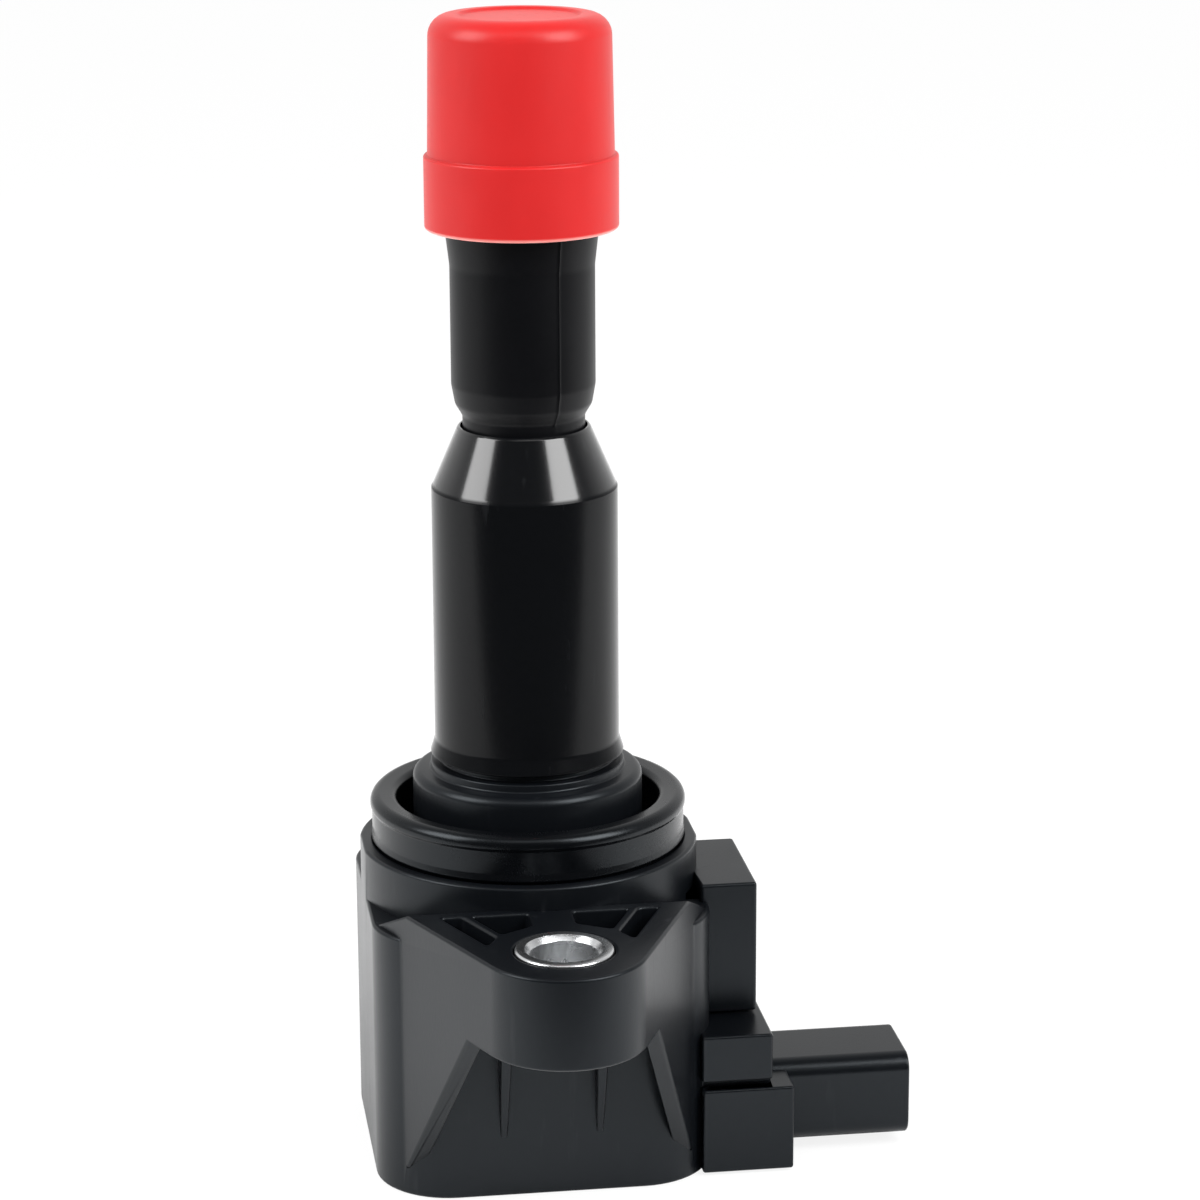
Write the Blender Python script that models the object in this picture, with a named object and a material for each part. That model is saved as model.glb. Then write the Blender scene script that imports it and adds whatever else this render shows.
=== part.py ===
"""Plug-top ignition coil, standing on the open end of its head with the plug end up.

Units are metres. The origin is on the tube's axis, in the plane of the head's open end.
+Z runs along the tube towards the spark plug, +X towards the electrical connector, and
-Y towards the mounting ear.
"""

import math

import bmesh
import bpy

# Clearances
GAP = 0.0003            # between pieces that touch or are moulded round each other
SLIDE_GAP = 0.0003      # round the protective cap and the contact, which move

# Head of the case
HEAD_HALF_WIDTH = 0.0212
HEAD_FRONT = 0.0220
HEAD_BACK = 0.0212
HEAD_CORNER = 0.0075
HEAD_HEIGHT = 0.0337
HEAD_WALL = 0.0022
HEAD_TOP_WALL = 0.0027
COLLAR_RADIUS = 0.02115
COLLAR_HEIGHT = 0.0063

# Tower that carries the extension tube
HUB_RADIUS = 0.01453
HUB_RISE = 0.0089
HUB_ROUND = 0.0007
NECK_RADIUS = 0.01097
NECK_RISE = 0.0021
SPIGOT_RADIUS = 0.0085
SPIGOT_LENGTH = 0.0100

# Rubber seal in the collar
SEAL_RADIUS = 0.0200
SEAL_LIP_WIDTH = 0.0034
SEAL_RISE = 0.0061
SEAL_FOOT_DEPTH = 0.0032
SEAL_FOOT_WIDTH = 0.0028
SEAL_ROUND = 0.00085

# Mounting ear and its bushing
EAR_REACH = 0.0350
EAR_TIP_RADIUS = 0.0102
EAR_FLANK_DEG = 24.0
EAR_BACK = 0.0205
EAR_DROP = 0.0029
EAR_THICKNESS = 0.0115
WEB_THICKNESS = 0.0020
WEB_SET_BACK = 0.00005
WEB_START = 0.0339
WEB_FOOT = 0.0035
RIB_OFFSET = 0.0060
RIB_WIDTH = 0.0018
RIB_REACH = 0.0060
RIB_FOOT = 0.0078
BUSHING_RADIUS = 0.00595
BUSHING_BORE = 0.0041
BUSHING_CHAMFER = 0.0006
BUSHING_PROUD = 0.0002
POCKET_DEPTH = 0.0060
POCKET_RIM = 0.0033
POCKET_WIDTH = 0.0023
POCKET_RIB = 0.0011
POCKET_BOSS_WALL = 0.0034
POCKET_BACK_GAP = 0.0013
POCKET_CENTRE_HALF = 0.0027

# Igniter column on the head's connector side
COLUMN_REACH = 0.0063
COLUMN_FRONT = 0.0121
COLUMN_BACK = 0.0056
COLUMN_RISE = 0.0023
COLUMN_INSET = 0.0009
COLUMN_WALL = 0.0015

# Connector moulding
BLOCK_FRONT = 0.0195
BLOCK_HEIGHT = 0.0185
BLOCK_REACH = 0.0071
STEP_HEIGHT = 0.0114
STEP_REACH = 0.0098
BLOCK_OVERLAP = 0.0027
BLOCK_GROOVE = 0.0009
SHROUD_REACH = 0.0258
SHROUD_WIDTH = 0.0129
SHROUD_HEIGHT = 0.0110
SHROUD_BASE = 0.0014
SHROUD_OFFSET = 0.00815
SHROUD_CORNER = 0.0022
SHROUD_WALL = 0.0015
SOCKET_DEPTH = 0.0130

# Terminal pins
PIN_COUNT = 3
PIN_PITCH = 0.0022
PIN_WIDTH = 0.0010
PIN_THICKNESS = 0.0007
PIN_RECESS = 0.0055
PIN_LEG_INSET = 0.0030

# Transformer
POTTING_FLOOR = 0.0030
POTTING_WALL = 0.0012
POTTING_TOP_SPACE = 0.0020
CORE_HALF = 0.0030
OUTER_CORE_LEG = 0.0044
OUTER_CORE_HALF_HEIGHT = 0.0035
OUTER_CORE_CORNER_GAP = 0.00066
MAGNET_THICKNESS = 0.0012
BOBBIN_WALL = 0.0007
PRIMARY_WINDING = 0.0012
SECONDARY_WALL = 0.0009
FLANGE_THICKNESS = 0.0009
WINDING_BELOW_FLANGE = 0.0004
WINDING_HEADROOM = 0.0030

# High-voltage path
TERMINAL_RADIUS = 0.0030
TERMINAL_HEAD_RADIUS = 0.0046
TERMINAL_HEAD_THICKNESS = 0.0010
TERMINAL_FOOT = 0.0015
DIODE_RADIUS = 0.0010
DIODE_LENGTH = 0.0060
RESISTOR_RADIUS = 0.0026
RESISTOR_CAP_RADIUS = 0.0030
RESISTOR_LENGTH = 0.0120
RESISTOR_CAP_LENGTH = 0.0020
SPRING_RADIUS = 0.0029
SPRING_WIRE_RADIUS = 0.0004
SPRING_TURNS = 9
CONTACT_FLANGE_RADIUS = 0.0037
CONTACT_FLANGE = 0.0010
CONTACT_NOSE_RADIUS = 0.0026
CONTACT_NOSE = 0.0080
CONTACT_NOSE_CHAMFER = 0.00065

# Extension tube
TUBE_RADIUS = 0.01165
TUBE_WAIST = 0.0001
TUBE_FLARE = 0.0006
TUBE_FLARE_LENGTH = 0.0056
TUBE_FOOT_RIM = 0.0007
TUBE_WAIST_HEIGHT = 0.0084
TUBE_LENGTH = 0.0348
TUBE_BORE = 0.0066
CONE_LENGTH = 0.0072
CONE_RIM_RADIUS = 0.0082

# Plug boot
BOOT_NECK_RADIUS = 0.0076
BOOT_ROOT_LENGTH = 0.0110
BOOT_NECK_LENGTH = 0.0018
BOOT_TAPER_LENGTH = 0.0030
BOOT_RADIUS = 0.00893
BOOT_END_RADIUS = 0.0096
BOOT_BODY_LENGTH = 0.0180
BOOT_END_LENGTH = 0.0260
BOOT_FLARE_LENGTH = 0.0057
BOOT_FLARE_ABOVE = 0.0030
BOOT_BORE = 0.0052
BOOT_SPRING_BORE = 0.0042
BOOT_THROAT_LENGTH = 0.0030
BOOT_MOUTH_CHAMFER = 0.0009
PLUG_DEPTH = 0.0376

# Protective cap
CAP_HEIGHT = 0.0260
CAP_WALL = 0.0015
CAP_TOP_WALL = 0.0015
CAP_SKIRT_HEIGHT = 0.0090
CAP_SKIRT_STEP = 0.0005
CAP_TAPER = 0.0003
CAP_FILLET = 0.0026

# Driver stage in the column
IGNITER_CARD = 0.0027
IGNITER_CHIP_RIM = 0.0031

# Facets of round shapes
FACETS = 40
BUSHING_FACETS = 32
SMALL_FACETS = 24
DIODE_FACETS = 12
CORNER_STEPS = 5
FILLET_STEPS = 4
EAR_TIP_STEPS = 14
SPRING_STEPS_PER_TURN = 12
SHARP_EDGE = math.radians(30)

# Heights worked out from the sizes above
CAVITY_TOP = HEAD_HEIGHT - HEAD_TOP_WALL
COLLAR_TOP = HEAD_HEIGHT + COLLAR_HEIGHT
HUB_TOP = COLLAR_TOP + HUB_RISE
NECK_TOP = HUB_TOP + NECK_RISE
SPIGOT_TOP = NECK_TOP + SPIGOT_LENGTH
TUBE_BASE = NECK_TOP + GAP
CONE_BASE = TUBE_BASE + TUBE_LENGTH
TUBE_TOP = CONE_BASE + CONE_LENGTH
BOOT_ROOT = TUBE_TOP - BOOT_ROOT_LENGTH
BOOT_BODY_BASE = TUBE_TOP + BOOT_NECK_LENGTH + BOOT_TAPER_LENGTH
BOOT_END_BASE = BOOT_BODY_BASE + BOOT_BODY_LENGTH
BOOT_TOP = BOOT_END_BASE + BOOT_END_LENGTH
PLUG_FLOOR = BOOT_TOP - PLUG_DEPTH
CONTACT_BASE = PLUG_FLOOR - BOOT_THROAT_LENGTH - SLIDE_GAP - CONTACT_FLANGE
EAR_TOP = COLLAR_TOP - EAR_DROP
EAR_BASE = EAR_TOP - EAR_THICKNESS
COLUMN_TOP = HEAD_HEIGHT + COLUMN_RISE
CAP_TOP = BOOT_TOP + SLIDE_GAP + CAP_TOP_WALL
CAP_BASE = CAP_TOP - CAP_HEIGHT
TERMINAL_TOP = SPIGOT_TOP + GAP + TERMINAL_HEAD_THICKNESS
RESISTOR_BASE = TERMINAL_TOP + GAP
RESISTOR_TOP = RESISTOR_BASE + RESISTOR_LENGTH

# Places across the head, worked out from the sizes above
CAVITY_HALF_WIDTH = HEAD_HALF_WIDTH - HEAD_WALL
CAVITY_FRONT = HEAD_FRONT - HEAD_WALL
CAVITY_BACK = HEAD_BACK - HEAD_WALL
COLUMN_SIDE = HEAD_HALF_WIDTH + COLUMN_REACH
BAY_FRONT = COLUMN_FRONT - COLUMN_WALL
BAY_BACK = COLUMN_BACK - COLUMN_WALL
BLOCK_SIDE = HEAD_HALF_WIDTH + BLOCK_REACH
STEP_SIDE = HEAD_HALF_WIDTH + STEP_REACH
SHROUD_MOUTH = HEAD_HALF_WIDTH + SHROUD_REACH
SHROUD_AXIS_Z = SHROUD_BASE + SHROUD_HEIGHT / 2
PIN_LEG_X = HEAD_HALF_WIDTH + PIN_LEG_INSET
EAR_FLANK = math.radians(EAR_FLANK_DEG)
WEB_ROOT = HEAD_CORNER - HEAD_FRONT


def clear_scene():
    for obj in list(bpy.data.objects):
        bpy.data.objects.remove(obj, do_unlink=True)


def material(name, colour, roughness, metallic=0.0):
    made = bpy.data.materials.new(name)
    made.use_nodes = True
    shader = made.node_tree.nodes["Principled BSDF"]
    shader.inputs["Base Color"].default_value = (*colour, 1.0)
    shader.inputs["Roughness"].default_value = roughness
    shader.inputs["Metallic"].default_value = metallic
    return made


def piece(name, bm, finish=None):
    """A mesh object from bm, with round faces shaded smooth."""
    bmesh.ops.recalc_face_normals(bm, faces=bm.faces)
    mesh = bpy.data.meshes.new(name)
    bm.to_mesh(mesh)
    bm.free()
    obj = bpy.data.objects.new(name, mesh)
    bpy.context.scene.collection.objects.link(obj)
    if finish:
        mesh.materials.append(finish)
    mesh.shade_smooth()
    mesh.set_sharp_from_angle(angle=SHARP_EDGE)
    return obj


def bridge(bm, low, high):
    """Closes two rings of vertices and joins them with side faces."""
    for ring in (low, high):
        bm.faces.new(ring)
    for i in range(len(low)):
        j = (i + 1) % len(low)
        bm.faces.new((low[i], low[j], high[j], high[i]))


def prism(name, outline, low, high, finish=None, axis="Z"):
    """The outline's (a, b) points carried from low to high along the axis.

    The pair is (x, y) along Z, (y, z) along X and (x, z) along Y.
    """
    place = {
        "Z": lambda a, b, h: (a, b, h),
        "X": lambda a, b, h: (h, a, b),
        "Y": lambda a, b, h: (a, h, b),
    }[axis]
    bm = bmesh.new()
    bridge(bm, *([bm.verts.new(place(a, b, h)) for a, b in outline] for h in (low, high)))
    return piece(name, bm, finish)


def block(name, x, y, z, finish=None):
    """A box between pairs of planes."""
    return prism(name, rectangle(x, y), *z, finish)


def rectangle(a, b):
    return [(a[0], b[0]), (a[1], b[0]), (a[1], b[1]), (a[0], b[1])]


def rounded_rectangle(a, b, radius):
    """A rectangle's outline with its corners as arcs."""
    radius = min(radius, 0.49 * (a[1] - a[0]), 0.49 * (b[1] - b[0]))
    centres = [
        (a[1] - radius, b[1] - radius),
        (a[0] + radius, b[1] - radius),
        (a[0] + radius, b[0] + radius),
        (a[1] - radius, b[0] + radius),
    ]
    outline = []
    for quarter, (ca, cb) in enumerate(centres):
        for step in range(CORNER_STEPS + 1):
            turn = math.pi / 2 * (quarter + step / CORNER_STEPS)
            outline.append((ca + radius * math.cos(turn), cb + radius * math.sin(turn)))
    return outline


def turned(name, profile, finish=None, centre=(0.0, 0.0), facets=FACETS, base=0.0):
    """The closed (radius, z) profile turned about a vertical axis at the centre.

    The object's origin is on that axis, at the base height.
    """
    bm = bmesh.new()
    rings = []
    for radius, z in profile:
        if radius == 0:
            rings.append([bm.verts.new((0, 0, z - base))] * facets)
            continue
        turns = [2 * math.pi * i / facets for i in range(facets)]
        rings.append(
            [bm.verts.new((radius * math.cos(t), radius * math.sin(t), z - base)) for t in turns]
        )
    for k in range(len(rings)):
        low, high = rings[k], rings[(k + 1) % len(rings)]
        for i in range(facets):
            j = (i + 1) % facets
            corners = list(dict.fromkeys((low[i], low[j], high[j], high[i])))
            if len(corners) > 2:
                bm.faces.new(corners)
    obj = piece(name, bm, finish)
    obj.location = (*centre, base)
    return obj


def rod(name, radius, low, high, finish=None, centre=(0.0, 0.0), facets=SMALL_FACETS):
    profile = [(0, low), (radius, low), (radius, high), (0, high)]
    return turned(name, profile, finish, centre, facets)


def arc(centre, radius, start_deg, end_deg, steps):
    """Points along an arc, both ends among them."""
    turns = [math.radians(start_deg + (end_deg - start_deg) * i / steps) for i in range(steps + 1)]
    return [(centre[0] + radius * math.cos(t), centre[1] + radius * math.sin(t)) for t in turns]


def boolean(target, operation, *tools):
    """Joins the tools to the target or cuts them from it, and removes them."""
    for tool in tools:
        step = target.modifiers.new(operation.title(), "BOOLEAN")
        step.operation = operation
        step.solver = "EXACT"
        step.object = tool
        with bpy.context.temp_override(object=target, active_object=target):
            bpy.ops.object.modifier_apply(modifier=step.name)
        bpy.data.objects.remove(tool, do_unlink=True)


def join(target, *tools):
    boolean(target, "UNION", *tools)


def cut(target, *tools):
    boolean(target, "DIFFERENCE", *tools)


def head_outline(grow=0.0):
    return rounded_rectangle(
        (-HEAD_HALF_WIDTH - grow, HEAD_HALF_WIDTH + grow),
        (-HEAD_FRONT - grow, HEAD_BACK + grow),
        HEAD_CORNER + grow,
    )


def cavity_outline(shrink=0.0):
    return rounded_rectangle(
        (-CAVITY_HALF_WIDTH + shrink, CAVITY_HALF_WIDTH - shrink),
        (-CAVITY_FRONT + shrink, CAVITY_BACK - shrink),
        HEAD_CORNER - HEAD_WALL - shrink,
    )


def flank_point(side, inset, y):
    """Where a line parallel to the ear's flank, that far inside it, crosses y."""
    reach = (EAR_TIP_RADIUS - inset) / math.cos(EAR_FLANK)
    return side * (reach + (y + EAR_REACH) * math.tan(EAR_FLANK)), y


def flank_end(side, inset, boss_radius):
    """Where that line leaves the circle round the bushing, on the side of the head."""
    foot = EAR_TIP_RADIUS - inset
    along = math.sqrt(boss_radius**2 - foot**2)
    x = foot * math.cos(EAR_FLANK) + along * math.sin(EAR_FLANK)
    y = -EAR_REACH - foot * math.sin(EAR_FLANK) + along * math.cos(EAR_FLANK)
    return side * x, y


def ear_outline(back, grow=0.0):
    """The ear seen along Z: a round tip and two straight flanks up to the back line."""
    turn = (180 + EAR_FLANK_DEG, 360 - EAR_FLANK_DEG)
    tip = arc((0, -EAR_REACH), EAR_TIP_RADIUS + grow, *turn, EAR_TIP_STEPS)
    return [flank_point(-1, -grow, back), *tip, flank_point(1, -grow, back)]


def pocket_outlines():
    """Four cored pockets between the collar and the bushing, two on each side."""
    boss = BUSHING_RADIUS + POCKET_BOSS_WALL
    back = -EAR_BACK - POCKET_BACK_GAP
    far = POCKET_RIM + POCKET_WIDTH
    near = far + POCKET_RIB
    nose_y = -EAR_REACH + math.sqrt(boss**2 - POCKET_CENTRE_HALF**2)
    for side in (-1, 1):
        yield [
            flank_point(side, POCKET_RIM, back),
            flank_end(side, POCKET_RIM, boss),
            flank_end(side, far, boss),
            flank_point(side, far, back),
        ]
        yield [
            flank_point(side, near, back),
            flank_end(side, near, boss),
            (side * POCKET_CENTRE_HALF, nose_y),
            (side * POCKET_CENTRE_HALF, back),
        ]


def mounting_ear():
    """The ear's plate, a web under each flank and two tapering ribs between the webs."""
    back = -EAR_BACK + 2 * (EAR_TOP - HEAD_HEIGHT)
    plate = prism("plate", ear_outline(back), EAR_BASE, EAR_TOP)
    slope = [
        (-EAR_BACK, EAR_TOP),
        (back + HEAD_WALL, HEAD_HEIGHT - HEAD_WALL / 2),
        (back + HEAD_WALL, EAR_TOP + HEAD_WALL),
        (-EAR_BACK, EAR_TOP + HEAD_WALL),
    ]
    width = HEAD_HALF_WIDTH + EAR_REACH
    cut(plate, prism("behind", slope, -width, width, axis="X"))
    sides = (-1, 1)
    return [plate, *map(flank_web, sides), *map(tapering_rib, sides)]


def flank_web(side):
    """A web that carries the flank's face down from the plate to the foot of the wall."""
    profile = [
        (WEB_ROOT, WEB_FOOT),
        (-HEAD_FRONT + HEAD_WALL, WEB_FOOT),
        (-WEB_START, EAR_BASE),
        (-WEB_START, EAR_BASE + WEB_THICKNESS),
        (WEB_ROOT, EAR_BASE + WEB_THICKNESS),
    ]
    bm = bmesh.new()
    rings = [
        [bm.verts.new((*flank_point(side, inset, y), z)) for y, z in profile]
        for inset in (WEB_SET_BACK, WEB_THICKNESS)
    ]
    bridge(bm, *rings)
    return piece("web", bm)


def tapering_rib(side):
    """A rib that narrows and fades into the front wall on its way down."""
    bm = bmesh.new()
    root = -HEAD_FRONT + HEAD_WALL / 2
    levels = [
        (EAR_BASE + WEB_THICKNESS, RIB_WIDTH / 2, RIB_REACH),
        (RIB_FOOT, RIB_WIDTH / 4, 0.0),
    ]
    rings = []
    for z, half, reach in levels:
        front = -HEAD_FRONT - reach
        corners = [(-half, root), (-half, front), (half, front), (half, root)]
        rings.append([bm.verts.new((side * RIB_OFFSET + x, y, z)) for x, y in corners])
    bridge(bm, *rings)
    return piece("rib", bm)


def tower():
    """The hub, the narrow neck and the spigot that the extension tube sits on."""
    profile = [
        (0, HEAD_HEIGHT - HEAD_TOP_WALL / 2),
        (HUB_RADIUS, HEAD_HEIGHT - HEAD_TOP_WALL / 2),
        *arc((HUB_RADIUS - HUB_ROUND, HUB_TOP - HUB_ROUND), HUB_ROUND, 0, 60, 2),
        (NECK_RADIUS + HUB_ROUND, HUB_TOP + HUB_ROUND / 2),
        (NECK_RADIUS, HUB_TOP + 3 * HUB_ROUND / 2),
        (NECK_RADIUS, NECK_TOP),
        (SPIGOT_RADIUS, NECK_TOP),
        (SPIGOT_RADIUS, SPIGOT_TOP),
        (0, SPIGOT_TOP),
    ]
    return turned("tower", profile)


def coil_case(plastic):
    case = prism("coil_case", head_outline(), 0, HEAD_HEIGHT, plastic)
    collar = rod("collar", COLLAR_RADIUS, HEAD_HEIGHT - HEAD_WALL, COLLAR_TOP, facets=FACETS)
    column = block(
        "column",
        (HEAD_HALF_WIDTH - COLUMN_INSET, COLUMN_SIDE),
        (-COLUMN_FRONT, COLUMN_BACK),
        (BLOCK_HEIGHT + GAP, COLUMN_TOP),
    )
    join(case, collar, column, *mounting_ear())
    seat = rod(
        "seat",
        SEAL_RADIUS - (SEAL_LIP_WIDTH - SEAL_FOOT_WIDTH) + GAP,
        COLLAR_TOP - SEAL_FOOT_DEPTH - GAP,
        COLLAR_TOP + HEAD_WALL,
        facets=FACETS,
    )
    cut(case, seat)
    join(case, tower())
    cavity = prism("cavity", cavity_outline(), -HEAD_WALL, CAVITY_TOP)
    bay = block(
        "bay",
        (CAVITY_HALF_WIDTH - HEAD_WALL, COLUMN_SIDE - COLUMN_WALL),
        (-BAY_FRONT, BAY_BACK),
        (-HEAD_WALL, COLUMN_TOP - COLUMN_WALL),
    )
    well = rod("well", TERMINAL_RADIUS + GAP, CAVITY_TOP - HEAD_WALL, SPIGOT_TOP + HEAD_WALL)
    hole = rod(
        "hole",
        BUSHING_RADIUS + GAP,
        EAR_BASE - HEAD_WALL,
        EAR_TOP + HEAD_WALL,
        centre=(0, -EAR_REACH),
        facets=FACETS,
    )
    cut(case, cavity, bay, well, hole)
    for outline in pocket_outlines():
        cut(case, prism("pocket", outline, EAR_TOP - POCKET_DEPTH, EAR_TOP + HEAD_WALL))
    return case


def pin_rows():
    """Each pin's y, from the front of the connector to its back."""
    for i in range(PIN_COUNT):
        yield -SHROUD_OFFSET + (i - (PIN_COUNT - 1) / 2) * PIN_PITCH


def pin_shape(name, y, grow, finish=None):
    """An L-shaped blade: along X in the socket, and up at its inner end to the igniter."""
    low = SHROUD_AXIS_Z - PIN_THICKNESS / 2 - grow
    high = low + PIN_THICKNESS + 2 * grow
    tip = SHROUD_MOUTH - PIN_RECESS + grow
    inner = PIN_LEG_X - grow
    outer = PIN_LEG_X + PIN_THICKNESS + grow
    top = BLOCK_HEIGHT + grow
    outline = [(inner, low), (tip, low), (tip, high), (outer, high), (outer, top), (inner, top)]
    half = PIN_WIDTH / 2 + grow
    return prism(name, outline, y - half, y + half, finish, axis="Y")


def shroud_outline(wall=0.0):
    """The shroud seen along X, or its socket with the wall taken off."""
    half = SHROUD_WIDTH / 2 - wall
    return rounded_rectangle(
        (-SHROUD_OFFSET - half, -SHROUD_OFFSET + half),
        (SHROUD_BASE + wall, SHROUD_BASE + SHROUD_HEIGHT - wall),
        SHROUD_CORNER - wall / 2,
    )


def connector_body(plastic):
    """The moulding that closes the bay from below and carries the plug's shroud."""
    across = (-BLOCK_FRONT, COLUMN_BACK)
    inner = HEAD_HALF_WIDTH - BLOCK_OVERLAP
    body = block("connector_body", (inner, BLOCK_SIDE), across, (GAP, BLOCK_HEIGHT), plastic)
    step = block("step", (inner + GAP, STEP_SIDE), (across[0] - GAP, across[1]), (GAP, STEP_HEIGHT))
    root = HEAD_HALF_WIDTH + STEP_REACH / 2
    shroud = prism("shroud", shroud_outline(), root, SHROUD_MOUTH, axis="X")
    join(body, step, shroud)
    groove = block(
        "groove",
        (HEAD_HALF_WIDTH - BLOCK_OVERLAP / 2, BLOCK_SIDE + GAP),
        (-BLOCK_FRONT - BLOCK_GROOVE, -BLOCK_FRONT + BLOCK_GROOVE),
        (STEP_HEIGHT, STEP_HEIGHT + BLOCK_GROOVE),
    )
    beyond = (-HEAD_WALL, BLOCK_HEIGHT + HEAD_WALL)
    ear = prism("ear", ear_outline(WEB_ROOT + GAP, GAP), *beyond)
    cut(body, groove, prism("head", head_outline(GAP), *beyond), ear)
    tongue = block(
        "tongue",
        (CAVITY_HALF_WIDTH + GAP, HEAD_HALF_WIDTH + 3 * GAP),
        (-BAY_FRONT + GAP, BAY_BACK - GAP),
        (2 * GAP, BLOCK_HEIGHT - GAP),
    )
    join(body, tongue)
    socket = (SHROUD_MOUTH - SOCKET_DEPTH, SHROUD_MOUTH + SHROUD_WALL)
    cut(body, prism("socket", shroud_outline(SHROUD_WALL), *socket, axis="X"))
    for y in pin_rows():
        cut(body, pin_shape("slot", y, GAP))
    return body


def case_seal(rubber):
    """A ring with a rounded lip, whose foot stands in the collar."""
    inner = SEAL_RADIUS - SEAL_LIP_WIDTH
    foot = SEAL_RADIUS - (SEAL_LIP_WIDTH - SEAL_FOOT_WIDTH)
    top = COLLAR_TOP + SEAL_RISE
    profile = [
        (foot - SEAL_FOOT_WIDTH, COLLAR_TOP - SEAL_FOOT_DEPTH),
        (foot, COLLAR_TOP - SEAL_FOOT_DEPTH),
        (foot, COLLAR_TOP + GAP),
        (SEAL_RADIUS, COLLAR_TOP + GAP),
        *arc((SEAL_RADIUS - SEAL_ROUND, top - SEAL_ROUND), SEAL_ROUND, 0, 90, 2),
        (inner + SEAL_ROUND / 2, top),
        (inner, top - SEAL_ROUND / 2),
    ]
    return turned("case_seal", profile, rubber)


def mounting_bushing(steel):
    low, high = EAR_BASE - BUSHING_PROUD, EAR_TOP + BUSHING_PROUD
    mouth = BUSHING_BORE + BUSHING_CHAMFER
    profile = [
        (BUSHING_BORE, low + BUSHING_CHAMFER),
        (mouth, low),
        (BUSHING_RADIUS, low),
        (BUSHING_RADIUS, high),
        (mouth, high),
        (BUSHING_BORE, high - BUSHING_CHAMFER),
    ]
    centre = (0, -EAR_REACH)
    return turned("mounting_bushing", profile, steel, centre, BUSHING_FACETS, EAR_TOP)


def extension_tube(plastic):
    flare = TUBE_RADIUS + TUBE_FLARE
    waist = TUBE_RADIUS - TUBE_WAIST
    socket = BOOT_NECK_RADIUS + GAP
    profile = [
        (SPIGOT_RADIUS + GAP, TUBE_BASE),
        (flare - TUBE_FLARE - GAP, TUBE_BASE),
        (flare, TUBE_BASE + GAP),
        (flare, TUBE_BASE + TUBE_FOOT_RIM),
        (TUBE_RADIUS + TUBE_FLARE / 3, TUBE_BASE + TUBE_FLARE_LENGTH / 2),
        (waist, TUBE_BASE + TUBE_WAIST_HEIGHT),
        (TUBE_RADIUS, CONE_BASE),
        (CONE_RIM_RADIUS, TUBE_TOP - GAP),
        (CONE_RIM_RADIUS - GAP / 3, TUBE_TOP),
        (socket, TUBE_TOP),
        (socket, BOOT_ROOT - GAP),
        (TUBE_BORE, BOOT_ROOT - GAP),
        (TUBE_BORE, SPIGOT_TOP + GAP),
        (SPIGOT_RADIUS + GAP, SPIGOT_TOP + GAP),
    ]
    return turned("extension_tube", profile, plastic)


def plug_boot(rubber):
    """The rubber sleeve: its root sits in the tube, and its bore takes the spark plug."""
    throat = CONTACT_NOSE_RADIUS + SLIDE_GAP
    throat_base = PLUG_FLOOR - BOOT_THROAT_LENGTH
    profile = [
        (BOOT_SPRING_BORE, BOOT_ROOT),
        (BOOT_NECK_RADIUS, BOOT_ROOT),
        (BOOT_NECK_RADIUS, TUBE_TOP + BOOT_NECK_LENGTH / 2),
        (BOOT_NECK_RADIUS + GAP / 2, TUBE_TOP + BOOT_NECK_LENGTH),
        (BOOT_RADIUS, BOOT_BODY_BASE),
        (BOOT_RADIUS, BOOT_END_BASE + BOOT_FLARE_ABOVE - BOOT_FLARE_LENGTH),
        (BOOT_END_RADIUS, BOOT_END_BASE + BOOT_FLARE_ABOVE),
        (BOOT_END_RADIUS, BOOT_TOP - BOOT_MOUTH_CHAMFER),
        (BOOT_END_RADIUS - BOOT_MOUTH_CHAMFER, BOOT_TOP),
        (BOOT_BORE + BOOT_MOUTH_CHAMFER, BOOT_TOP),
        (BOOT_BORE, BOOT_TOP - BOOT_MOUTH_CHAMFER),
        (BOOT_BORE, PLUG_FLOOR),
        (throat, PLUG_FLOOR),
        (throat, throat_base),
        (BOOT_SPRING_BORE, throat_base),
    ]
    return turned("plug_boot", profile, rubber)


def protective_cap(soft_plastic):
    """The shipping cap over the plug end, with a thicker skirt at its open end."""
    bore = BOOT_END_RADIUS + SLIDE_GAP
    outer = bore + CAP_WALL
    skirt = outer + CAP_SKIRT_STEP
    ledge = CAP_BASE + CAP_SKIRT_HEIGHT
    upper = outer - CAP_TAPER
    fillet = arc((upper - CAP_FILLET, CAP_TOP - CAP_FILLET), CAP_FILLET, 0, 90, FILLET_STEPS)
    profile = [
        (bore, CAP_BASE),
        (skirt - GAP, CAP_BASE),
        (skirt, CAP_BASE + GAP),
        (skirt, ledge - GAP),
        (skirt - GAP, ledge),
        (outer, ledge + GAP),
        *fillet,
        (0, CAP_TOP),
        (0, CAP_TOP - CAP_TOP_WALL),
        (bore, CAP_TOP - CAP_TOP_WALL),
    ]
    return turned("protective_cap", profile, soft_plastic, base=CAP_BASE)


def sleeve(name, length, inner, outer, finish, centre):
    """A square tube along X. Inner and outer are half sizes in Y and Z."""
    (x0, x1), (yc, zc) = length, centre
    beyond = (x0 - FLANGE_THICKNESS, x1 + FLANGE_THICKNESS)
    walls = []
    for label, x, (wide, tall) in ((name, length, outer), ("hollow", beyond, inner)):
        walls.append(block(label, x, (yc - wide, yc + wide), (zc - tall, zc + tall), finish))
    cut(*walls)
    return walls[0]


def bobbin(name, length, inner, wall, flange, finish, centre):
    """A square tube along X with a flange at each end. Flange holds its half sizes in Y and Z."""
    obj = sleeve(name, length, (inner, inner), flange, finish, centre)
    between = (length[0] + FLANGE_THICKNESS, length[1] - FLANGE_THICKNESS)
    spool = inner + wall
    reach = tuple(2 * half for half in flange)
    cut(obj, sleeve("waist", between, (spool, spool), reach, None, centre))
    return obj


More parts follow.
